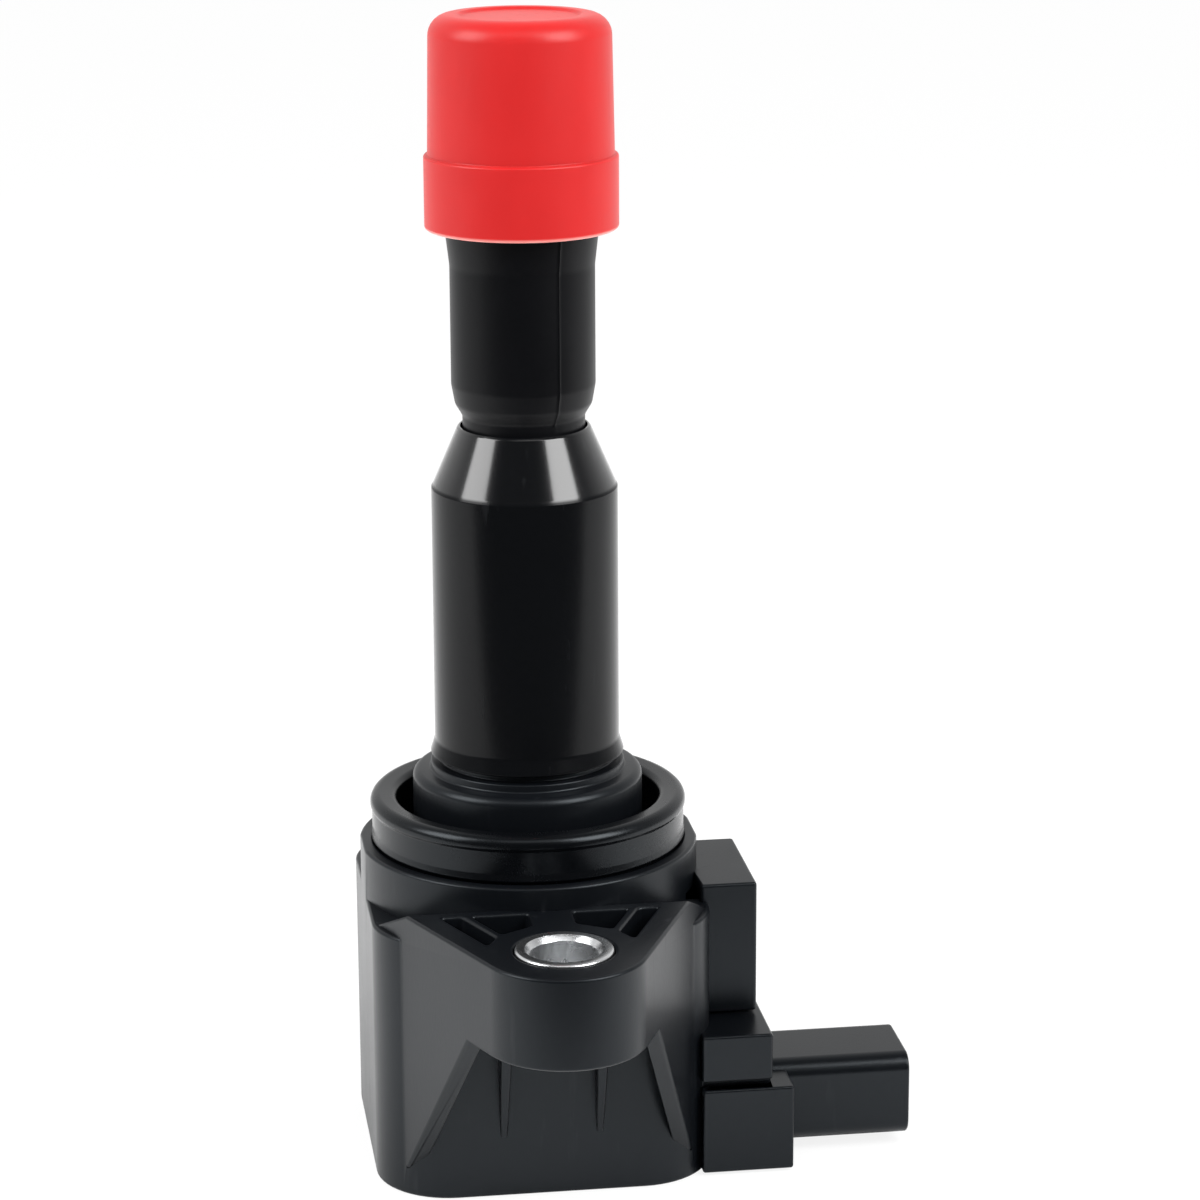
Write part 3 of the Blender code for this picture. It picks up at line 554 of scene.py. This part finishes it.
# The tower: a broad hub inside the seal, a neck, and the spigot inside the extension tube.
hub_radius, hub_top, step_radius = 14.53 * MM, 48.9 * MM, 12.2 * MM
neck_radius, neck_top, neck_edge = 10.97 * MM, 51.0 * MM, 0.2 * MM
spigot_radius, spigot_top = 8.5 * MM, case_high.z
tower_foot = seat_floor - head_wall / 2
tower = turned(
    "tower",
    eased([
        (0, tower_foot, 0),
        (hub_radius, tower_foot, 0),
        (hub_radius, hub_top + 0.1 * MM, 1.1 * MM),
        (step_radius + 0.1 * MM, hub_top + 0.35 * MM, 0.3 * MM),
        (step_radius, neck_top - 0.75 * MM, neck_edge),
        (neck_radius, neck_top - 0.7 * MM, neck_edge),
        (neck_radius, neck_top, neck_edge),
        (spigot_radius, neck_top, neck_edge),
        (spigot_radius, spigot_top, 0.5 * MM),
        (0, spigot_top, 0),
    ]),
)
well_radius = 3.3 * MM
well = drum("well", well_radius, (cavity_top - head_wall, spigot_top + gap), sides=64)
carve(case, "UNION", tower)
carve(case, "DIFFERENCE", well)
smooth(case)


class Finish(Paint):
    """A piece's finish: constants set on its shader, and what varies over its surface."""

    def __init__(self, name, **constants):
        self.material = bpy.data.materials.new(name)
        super().__init__(self.material)
        self.shader = self.tree.nodes["Principled BSDF"]
        self.feed(self.shader, {key.replace("_", " "): value for key, value in constants.items()})
        self.place = self.node("ShaderNodeTexCoord", {}, {}, output=3)

    def at(self, centre=(0, 0, 0), stretch=(1, 1, 1)):
        """The place on the piece, measured from a centre and stretched along each axis."""
        shift = [-c * s for c, s in zip(centre, stretch)]
        return self.node("ShaderNodeMapping", {}, {0: self.place, 1: shift, 3: stretch})

    def noise(self, size, detail=2.0, stretch=(1, 1, 1)):
        """Soft noise from 0 to 1 whose spots are about that many metres across."""
        sockets = {0: self.at(stretch=stretch), 2: 1 / size, 3: detail}
        return self.node("ShaderNodeTexNoise", {}, sockets)

    def axis(self, number, centre=(0, 0, 0)):
        return self.node("ShaderNodeSeparateXYZ", {}, {0: self.at(centre)}, number)

    def radius(self, centre=(0, 0, 0)):
        """The distance from an upright axis through the centre."""
        flat = self.at(centre, (1, 1, 0))
        return self.node("ShaderNodeVectorMath", {"operation": "LENGTH"}, {0: flat}, output=1)

    def waves(self, value, length):
        """0 to 1 and back over each length of the value."""
        turns = value * (2 * math.pi / length)
        return turns.math("SINE", turns) * 0.5 + 0.5

    def set(self, colour, roughness, relief=None, depth=0.0):
        self.feed(self.shader, {"Base Color": colour, "Roughness": roughness})
        if relief is not None:
            bump = self.node("ShaderNodeBump", {}, {0: 1.0, 1: depth, 3: relief})
            self.feed(self.shader, {"Normal": bump})
        return self

    def on(self, *pieces):
        for piece in pieces:
            piece.data.materials.clear()
            piece.data.materials.append(self.material)


def built(piece, body, material_slot, *cad_nodes):
    """The finished piece moves with the body and stands for the CAD nodes."""
    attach(piece, body)
    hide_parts(*cad_nodes)


def moulded_black(name, dark, light, dull, shiny, **constants):
    """Black glass-filled plastic: cloudy flow marks, short fibres and a fine mould grain."""
    plastic = Finish(name, **constants)
    clouds = plastic.noise(9 * MM, 3.0, (1, 1, 0.45))
    fibres = plastic.noise(0.35 * MM, 2.0, (1, 1, 0.4))
    grain = plastic.noise(0.16 * MM, 1.0)
    scuffs = plastic.noise(1.6 * MM, 5.0, (1, 1, 0.12)).between(0.64, 0.80)
    shade = clouds * 0.7 + fibres.between(0.55, 0.8) * 0.3
    scuffed = (0.020, 0.021, 0.023, 1)
    colour = plastic.tint(plastic.tint(dark, light, shade), scuffed, scuffs * 0.45)
    rough = shiny + (dull - shiny) * (clouds * 0.6 + fibres * 0.4) + scuffs * 0.10
    return plastic.set(colour, rough, fibres * 0.5 + grain * 0.5 - scuffs * 0.3, 0.01 * MM)


cold_shine = {"Specular_IOR_Level": 0.24, "Specular_Tint": (0.86, 0.94, 1.0, 1)}
case_finish = moulded_black(
    "black case plastic",
    (0.0020, 0.0025, 0.0034, 1),
    (0.0034, 0.0041, 0.0054, 1),
    0.41,
    0.28,
    **cold_shine,
)
case_finish.on(case)
built(case, "coil", "case_plastic", "coil_case")

# ---------------------------------------------------------------------------------------
# Potting. Black epoxy poured into the open end of the head over the windings. It has set
# glossy and a little sunken, with a raised edge where it wetted the wall.

potting_low, potting_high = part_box("potting_fill")
creep, poured = 0.2 * MM, 2.8 * MM
potting = slab(
    "potting",
    (potting_low.x - creep, potting_high.x + creep),
    (potting_low.y - creep, potting_high.y + creep),
    (potting_low.z + 0.1 * MM, potting_low.z + poured),
    cavity_corner,
)
open_mesh(potting)
pick("faces", lambda face: face.normal.z < -0.9)
for rim, sunk in ((0.4, 0.30), (0.7, 0.22), (1.4, 0.12), (3.0, 0.08)):
    bpy.ops.mesh.inset(thickness=rim * MM, depth=-sunk * MM)
close_mesh()
smooth(potting, 60)
resin = Finish("black potting resin", Coat_Roughness=0.06)
swirl = resin.noise(7 * MM, 4.0)
pits = resin.noise(1.1 * MM, 1.0).between(0.70, 0.78)
resin.set(resin.tint(grey(0.008), grey(0.018), swirl), swirl * 0.14 + 0.14, swirl - pits, 0.06 * MM)
resin.on(potting)
built(potting, "coil", "potting_resin", "potting_fill")

# ---------------------------------------------------------------------------------------
# Transformer and igniter, sealed in the head: stacked core sheets, a ferrite bias magnet,
# bobbins with lacquered copper windings, the igniter's card in its housing, the diode, the
# high voltage terminal and its resistor. They keep their shapes and get real finishes.

core_steel = Finish("core sheets", Metallic=1.0)
sheets = core_steel.waves(core_steel.axis(2), 0.5 * MM)
rust = core_steel.noise(1.6 * MM, 3.0).between(0.62, 0.75)
sheet_grey = core_steel.tint((0.16, 0.16, 0.17, 1), (0.42, 0.42, 0.43, 1), sheets)
rusted = core_steel.tint(sheet_grey, (0.20, 0.11, 0.06, 1), rust)
core_steel.set(rusted, rust * 0.3 + 0.38, sheets, 0.05 * MM)
core_steel.on(nodes["outer_core"], nodes["center_core"])

magnet = Finish("ferrite")
crumbs = magnet.noise(0.25 * MM, 3.0)
magnet.set(magnet.tint(grey(0.03), grey(0.09), crumbs), crumbs * 0.2 + 0.5, crumbs, 0.03 * MM)
magnet.on(nodes["bias_magnet"])

bobbin = Finish("bobbin plastic")
flow = bobbin.noise(3 * MM, 3.0, (1, 1, 0.4))
ivory = bobbin.tint((0.30, 0.26, 0.19, 1), (0.42, 0.37, 0.28, 1), flow)
bobbin.set(ivory, flow * 0.15 + 0.4, flow, 0.02 * MM)
bobbin.on(nodes["primary_bobbin"], nodes["secondary_bobbin"])

for name, wire_width in (("primary_winding", 0.55 * MM), ("secondary_winding", 0.20 * MM)):
    winding = Finish(name.replace("_", " ") + " copper", Metallic=1.0)
    # The same waves give the wire relief and paint each turn dark in the grooves between turns and
    # bright on its crest: painted shade.
    wire_rows_and_groove_shade = winding.waves(winding.axis(0), wire_width)
    lacquer = winding.noise(4 * MM, 2.0)
    bright = winding.tint((0.55, 0.20, 0.09, 1), (0.80, 0.36, 0.17, 1), lacquer)
    copper = winding.tint((0.10, 0.03, 0.012, 1), bright, wire_rows_and_groove_shade)
    winding.set(copper, 0.42 - wire_rows_and_groove_shade * 0.15, wire_rows_and_groove_shade, wire_width * 0.3)
    winding.on(nodes[name])

igniter = moulded_black("igniter housing", grey(0.014), grey(0.024), 0.6, 0.45)
igniter.on(nodes["igniter_module"], nodes["high_voltage_diode"])

ceramic = Finish("resistor ceramic")
specks = ceramic.noise(0.3 * MM, 2.0).between(0.62, 0.75)
speckled = ceramic.tint((0.62, 0.58, 0.50, 1), (0.38, 0.33, 0.27, 1), specks)
ceramic.set(speckled, specks * 0.3 + 0.35, specks, 0.02 * MM)
ceramic.on(nodes["suppression_resistor"])


def turned_metal(name, dark, light, dull, shiny, centre=(0, 0, 0)):
    """Plated metal turned on a lathe: fine rings about its upright axis, and light stains."""
    metal = Finish(name, Metallic=1.0)
    rings = metal.waves(metal.radius(centre) + metal.axis(2) * 0.6, 0.22 * MM)
    stains = metal.noise(2.4 * MM, 4.0)
    rough = shiny + (dull - shiny) * stains
    return metal.set(metal.tint(dark, light, stains), rough, rings * 0.8 + stains * 0.2, 0.003 * MM)


brass = turned_metal(
    "nickel plated brass", (0.62, 0.50, 0.30, 1), (0.78, 0.68, 0.48, 1), 0.38, 0.22
)
brass.on(nodes["high_voltage_terminal"])

# ---------------------------------------------------------------------------------------
# Mounting bushing. A rolled zinc-plated steel sleeve pressed into the ear. Its bore takes
# the bolt, and its mouth is chamfered.

ear_centre = (0.0, ear_y)
bore_radius, mouth, rim = 4.1 * MM, 0.65 * MM, 0.3 * MM
bushing = turned(
    "bushing",
    eased([
        (bore_radius, bushing_low.z + mouth, 0.1 * MM),
        (bore_radius + mouth, bushing_low.z, 0.12 * MM),
        (bushing_radius, bushing_low.z, rim),
        (bushing_radius, bushing_high.z, rim),
        (bore_radius + mouth, bushing_high.z, 0.12 * MM),
        (bore_radius, bushing_high.z - mouth, 0.1 * MM),
    ], steps=3),
    ear_centre,
    steps=96,
)
smooth(bushing)
zinc = turned_metal(
    "zinc plated steel",
    (0.60, 0.61, 0.62, 1),
    (0.72, 0.73, 0.74, 1),
    0.30,
    0.24,
    (*ear_centre, 0),
)
zinc.on(bushing)
built(bushing, "coil", "zinc_steel", "mounting_bushing")

# ---------------------------------------------------------------------------------------
# Connector. A separate glass-filled moulding let into the head's side: two stacked blocks
# with a groove between, and the rounded shroud that the harness plug goes into.

shroud_x = (29.0 * MM, connector_high.x)
shroud_y, shroud_z = (-14.6 * MM, -1.7 * MM), (1.4 * MM, 12.4 * MM)
shroud_corner, shroud_wall, socket_floor = 2.2 * MM, 1.5 * MM, 34.0 * MM
upper_side, step_side, step_top, groove = 28.3 * MM, 31.0 * MM, 11.4 * MM, 1.0 * MM
block_low = connector_low.z
connector = slab(
    "connector",
    (connector_low.x, upper_side),
    (connector_low.y + 0.3 * MM, connector_high.y),
    (step_top - groove, block_top),
)
step_block = slab(
    "step",
    (connector_low.x + 0.1 * MM, step_side),
    (connector_low.y, connector_high.y - 0.1 * MM),
    (block_low, step_top),
)
shroud = slab("shroud", shroud_x, shroud_y, shroud_z, shroud_corner, axis=0)
socket = slab(
    "socket",
    (socket_floor, shroud_x[1] + shroud_wall),
    (shroud_y[0] + shroud_wall, shroud_y[1] - shroud_wall),
    (shroud_z[0] + shroud_wall, shroud_z[1] - shroud_wall),
    shroud_corner - shroud_wall / 2,
    axis=0,
)
undercut = slab(
    "undercut",
    (connector_low.x - gap, upper_side + gap),
    (connector_low.y - gap, connector_low.y + 1.7 * MM),
    (step_top, step_top + groove),
)
carve(connector, "UNION", step_block, shroud)
carve(connector, "DIFFERENCE", undercut, socket)
clean(connector)
round_edges(connector, 0.35 * MM)
smooth(connector)
connector_finish = moulded_black(
    "black connector plastic",
    (0.0014, 0.0018, 0.0026, 1),
    (0.0026, 0.0032, 0.0044, 1),
    0.34,
    0.24,
    **cold_shine,
)
connector_finish.on(connector)
built(connector, "coil", "case_plastic", "connector_body")

pin_finish = Finish("tin plate", Metallic=1.0)
wipe = pin_finish.noise(1.2 * MM, 3.0, (0.25, 1, 1))
pin_finish.set(pin_finish.tint(grey(0.60), grey(0.82), wipe), wipe * 0.2 + 0.2, wipe, 0.01 * MM)
pin_finish.on(*(nodes[f"terminal_pin_{number}"] for number in (1, 2, 3)))

# ---------------------------------------------------------------------------------------
# Case seal. A black rubber ring pushed over the hub into the collar's seat. A rounded bead
# at its top closes the spark plug well, and its wall widens a little where it leaves the
# collar.

seal_bore, seal_wall_radius, seat_ring = 16.6 * MM, 19.8 * MM, 19.4 * MM
lip_radius, bead_radius, seal_top = 19.95 * MM, seal_high.x, seal_high.z
seal = turned(
    "seal",
    eased([
        (seal_bore, seal_low.z, 0.4 * MM),
        (seat_ring, seal_low.z, 0.4 * MM),
        (seat_ring, collar_top - 0.1 * MM, 0.1 * MM),
        (lip_radius, collar_top + 0.35 * MM, 0.3 * MM),
        (seal_wall_radius, collar_top + 1.2 * MM, 0.8 * MM),
        (seal_wall_radius, seal_top - 2.0 * MM, 0.4 * MM),
        (bead_radius, seal_top - 1.6 * MM, 0.4 * MM),
        (bead_radius, seal_top, 1.15 * MM),
        (seal_bore, seal_top - 0.3 * MM, 0.9 * MM),
    ]),
    steps=160,
)
smooth(seal)


def black_rubber(name, dark, light, dull, shiny, **constants):
    """Moulded black rubber: a soft bloom, and a fine pebbled skin."""
    rubber = Finish(name, **constants)
    bloom = rubber.noise(9 * MM, 3.0)
    pebbles = rubber.noise(0.22 * MM, 2.0)
    rough = shiny + (dull - shiny) * (bloom * 0.8 + pebbles * 0.2)
    return rubber.set(rubber.tint(dark, light, bloom), rough, pebbles, 0.005 * MM)


seal_finish = black_rubber(
    "black seal rubber",
    (0.0009, 0.0011, 0.0015, 1),
    (0.0018, 0.0021, 0.0028, 1),
    0.33,
    0.21,
    **cold_shine,
)
seal_finish.on(seal)
built(seal, "coil", "seal_rubber", "case_seal")

# ---------------------------------------------------------------------------------------
# Extension tube. A glossy black moulding glued over the tower's spigot. It flares to a
# bright-edged foot, runs almost straight, and ends in a cone round the boot.

tube_low, tube_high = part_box("extension_tube")
foot_radius, body_radius, cone_base, cone_rim = tube_high.x, 11.6 * MM, 86.1 * MM, 8.2 * MM
socket_radius, tube_bore, tube_joint = 7.9 * MM, 6.6 * MM, spigot_radius + 0.2 * MM
boot_low, boot_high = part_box("plug_boot")
tube = turned(
    "tube",
    eased([
        (tube_joint, tube_low.z, 0.2 * MM),
        (foot_radius, tube_low.z, 0.15 * MM),
        (foot_radius - 0.2 * MM, tube_low.z + 0.6 * MM, 0.15 * MM),
        (body_radius + 0.05 * MM, tube_low.z + 1.9 * MM, 1.5 * MM),
        (body_radius, cone_base - 0.5 * MM, 0.3 * MM),
        (body_radius - 0.25 * MM, cone_base, 0.1 * MM),
        (cone_rim + 0.12 * MM, tube_high.z - 0.25 * MM, 0.2 * MM),
        (cone_rim - 0.1 * MM, tube_high.z, 0.1 * MM),
        (socket_radius, tube_high.z, 0.05 * MM),
        (socket_radius, boot_low.z - gap, 0.2 * MM),
        (tube_bore, boot_low.z - gap, 0.2 * MM),
        (tube_bore, spigot_top + gap, 0.2 * MM),
        (tube_joint, spigot_top + gap, 0.2 * MM),
    ]),
    steps=160,
)
smooth(tube)
tube_finish = moulded_black(
    "glossy black plastic",
    (0.0020, 0.0022, 0.0026, 1),
    (0.0030, 0.0034, 0.0040, 1),
    0.24,
    0.16,
    Specular_IOR_Level=0.12,
    Coat_Roughness=0.13,
)
on_cone = tube_finish.axis(2).between(cone_base - 0.3 * MM, cone_base)
tube_finish.feed(tube_finish.shader, {"Coat Weight": on_cone * 0.9})
tube_finish.on(tube)
built(tube, "coil", "tube_plastic", "extension_tube")

# ---------------------------------------------------------------------------------------
# Plug boot. Soft black rubber moulded in two halves, so a thin flash line runs up each
# side. It grips the spark plug, and its root is pressed into the tube's cone.

boot_neck, boot_body, boot_end = 7.6 * MM, 8.93 * MM, boot_high.x
plug_bore, spring_bore, throat = 5.2 * MM, 4.2 * MM, 2.9 * MM
neck_end, shoulder_z, shoulder_radius, body_start = 94.7 * MM, 96.2 * MM, 8.5 * MM, 98.6 * MM
throat_low, throat_high, flare_low, flare_high = 101.5 * MM, 104.5 * MM, 113.4 * MM, 119.1 * MM
boot = turned(
    "boot",
    eased([
        (spring_bore, boot_low.z, 0.2 * MM),
        (boot_neck, boot_low.z, 0.4 * MM),
        (boot_neck, neck_end, 1.0 * MM),
        (shoulder_radius, shoulder_z, 1.6 * MM),
        (boot_body, body_start, 3.0 * MM),
        (boot_body, flare_low, 6.0 * MM),
        (boot_end, flare_high, 6.0 * MM),
        (boot_end, boot_high.z, 1.0 * MM),
        (plug_bore + 1.0 * MM, boot_high.z, 0.4 * MM),
        (plug_bore, boot_high.z - 1.0 * MM, 0.4 * MM),
        (plug_bore, throat_high, 0.3 * MM),
        (throat, throat_high, 0.3 * MM),
        (throat, throat_low, 0.3 * MM),
        (spring_bore, throat_low, 0.3 * MM),
    ]),
    steps=128,
)
flash_width, flash_height = 0.13 * MM, 0.14 * MM
open_mesh(boot)
for flash_turn in (math.radians(-67.5), math.radians(112.5)):
    along_flash = Vector((math.cos(flash_turn), math.sin(flash_turn), 0))
    across_flash = Vector((-math.sin(flash_turn), math.cos(flash_turn), 0))

    def on_flash(point):
        outside = point.co.dot(along_flash) > boot_neck - 0.2 * MM
        return outside and abs(point.co.dot(across_flash)) < 0.01 * MM and point.co.z > tube_high.z

    pick("edges", lambda edge: all(on_flash(point) for point in edge.verts))
    bpy.ops.mesh.bevel(offset=flash_width, segments=2)
    pick("verts", on_flash)
    bpy.ops.transform.translate(value=along_flash * flash_height)
close_mesh()
smooth(boot, 50)
boot_finish = black_rubber(
    "black boot rubber",
    (0.0012, 0.0013, 0.0018, 1),
    (0.0022, 0.0024, 0.0032, 1),
    0.44,
    0.34,
    Specular_IOR_Level=0.13,
)
boot_finish.on(boot)
built(boot, "coil", "boot_rubber", "plug_boot")

# ---------------------------------------------------------------------------------------
# Contact spring and contact cap. Nine turns of spring steel in the boot press a plated
# brass cap against the throat. The spark plug's terminal pushes it down.

spring_low, spring_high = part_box("contact_spring")
wire_radius, spring_turns, travel = 0.4 * MM, 9, 4.5 * MM
spring_length = spring_high.z - spring_low.z
spring_mean = spring_high.x - wire_radius
bpy.ops.mesh.primitive_circle_add(
    vertices=12,
    radius=wire_radius,
    location=(spring_mean, 0, spring_low.z + wire_radius),
    rotation=(math.pi / 2, 0, 0),
)
spring = bpy.context.active_object
spring.name = "spring"
settle(spring)
coiling = spring.modifiers.new("turns", "SCREW")
coiling.angle = 2 * math.pi
coiling.iterations = spring_turns
coiling.steps = coiling.render_steps = 36
coiling.screw_offset = (spring_length - 2 * wire_radius) / spring_turns
bpy.ops.object.modifier_apply(modifier=coiling.name)
open_mesh(spring)
pick("edges", lambda edge: edge.is_boundary)
bpy.ops.mesh.edge_face_add()
bpy.ops.mesh.select_all(action="SELECT")
bpy.ops.mesh.remove_doubles(threshold=0.001 * MM)
bpy.ops.mesh.select_all(action="SELECT")
bpy.ops.mesh.normals_make_consistent(inside=False)
close_mesh()
smooth(spring)
drawn_wire = Finish("spring steel", Metallic=1.0)
drawn = drawn_wire.noise(0.5 * MM, 3.0)
drawn_wire.set(drawn_wire.tint(grey(0.32), grey(0.55), drawn), drawn * 0.2 + 0.2, drawn, 0.01 * MM)
drawn_wire.on(spring)
built(spring, "coil", "spring_steel", "contact_spring")
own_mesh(spring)

contact_low, contact_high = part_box("contact_cap")
flange_top, nose_radius = contact_low.z + 1.0 * MM, 2.6 * MM
dimple_radius, dimple_z = 0.9 * MM, contact_high.z - 0.3 * MM
contact = turned(
    "contact",
    eased([
        (0, contact_low.z, 0),
        (contact_high.x, contact_low.z, 0.15 * MM),
        (contact_high.x, flange_top, 0.25 * MM),
        (nose_radius, flange_top, 0.2 * MM),
        (nose_radius, contact_high.z, 0.8 * MM),
        (dimple_radius + 0.3 * MM, contact_high.z, 0.2 * MM),
        (dimple_radius, dimple_z, 0.2 * MM),
        (0, dimple_z, 0),
    ]),
    steps=64,
)
smooth(contact)
brass.on(contact)
built(contact, "contact", "plated_brass", "contact_cap")

# ---------------------------------------------------------------------------------------
# Protective cap. A red thin-walled cap in soft polyethylene pushed over the boot's end for
# transport. Its skirt is a little wider below a ledge, and its top is faintly dished.

cap_low, cap_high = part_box("protective_cap")
skirt_radius, ledge, ledge_radius, crown_radius = cap_high.x, 126.9 * MM, 11.42 * MM, 11.1 * MM
cap_bore, cap_roof, dish_radius = 9.9 * MM, cap_high.z - 1.5 * MM, 7.6 * MM
cap = turned(
    "cap",
    eased([
        (0, cap_roof, 0),
        (cap_bore, cap_roof, 1.0 * MM),
        (cap_bore, cap_low.z + 1.0 * MM, 0.3 * MM),
        (cap_bore + 0.5 * MM, cap_low.z, 0.2 * MM),
        (skirt_radius, cap_low.z, 0.45 * MM),
        (skirt_radius, ledge, 0.3 * MM),
        (ledge_radius, ledge + 0.1 * MM, 0.15 * MM),
        (crown_radius, cap_high.z, 2.6 * MM),
        (dish_radius, cap_high.z, 0.5 * MM),
        (dish_radius - 0.5 * MM, cap_high.z - 0.35 * MM, 0.5 * MM),
        (0, cap_high.z - 0.42 * MM, 0),
    ], steps=8),
    steps=160,
)
smooth(cap)
polyethylene = Finish(
    "red polyethylene",
    Subsurface_Weight=0.3,
    Subsurface_Radius=(1.0, 0.2, 0.2),
    Subsurface_Scale=1.2 * MM,
    Specular_IOR_Level=0.3,
    Sheen_Weight=0.25,
    Sheen_Roughness=0.35,
    Sheen_Tint=(1.0, 0.30, 0.28, 1),
)
drift = polyethylene.noise(8 * MM, 3.0, (1, 1, 0.5))
skin = polyethylene.noise(0.3 * MM, 2.0)
scuffs = polyethylene.noise(1.4 * MM, 4.0, (1, 1, 0.2)).between(0.60, 0.72)
red = polyethylene.tint((0.37, 0.006, 0.006, 1), (0.45, 0.009, 0.009, 1), drift)
# The bottom rim of the skirt is painted pale pink: painted light, standing in for light showing
# through the thin translucent wall at the mouth.
painted_rim_glow = polyethylene.axis(2).between(cap_low.z + 0.5 * MM, cap_low.z + 0.1 * MM)
polyethylene.set(
    polyethylene.tint(red, (0.78, 0.30, 0.27, 1), painted_rim_glow),
    drift * 0.08 + scuffs * 0.06 + 0.34,
    skin * 0.6 + scuffs * 0.4,
    0.008 * MM,
)
polyethylene.on(cap)
built(cap, "cap", "cap_plastic", "protective_cap")
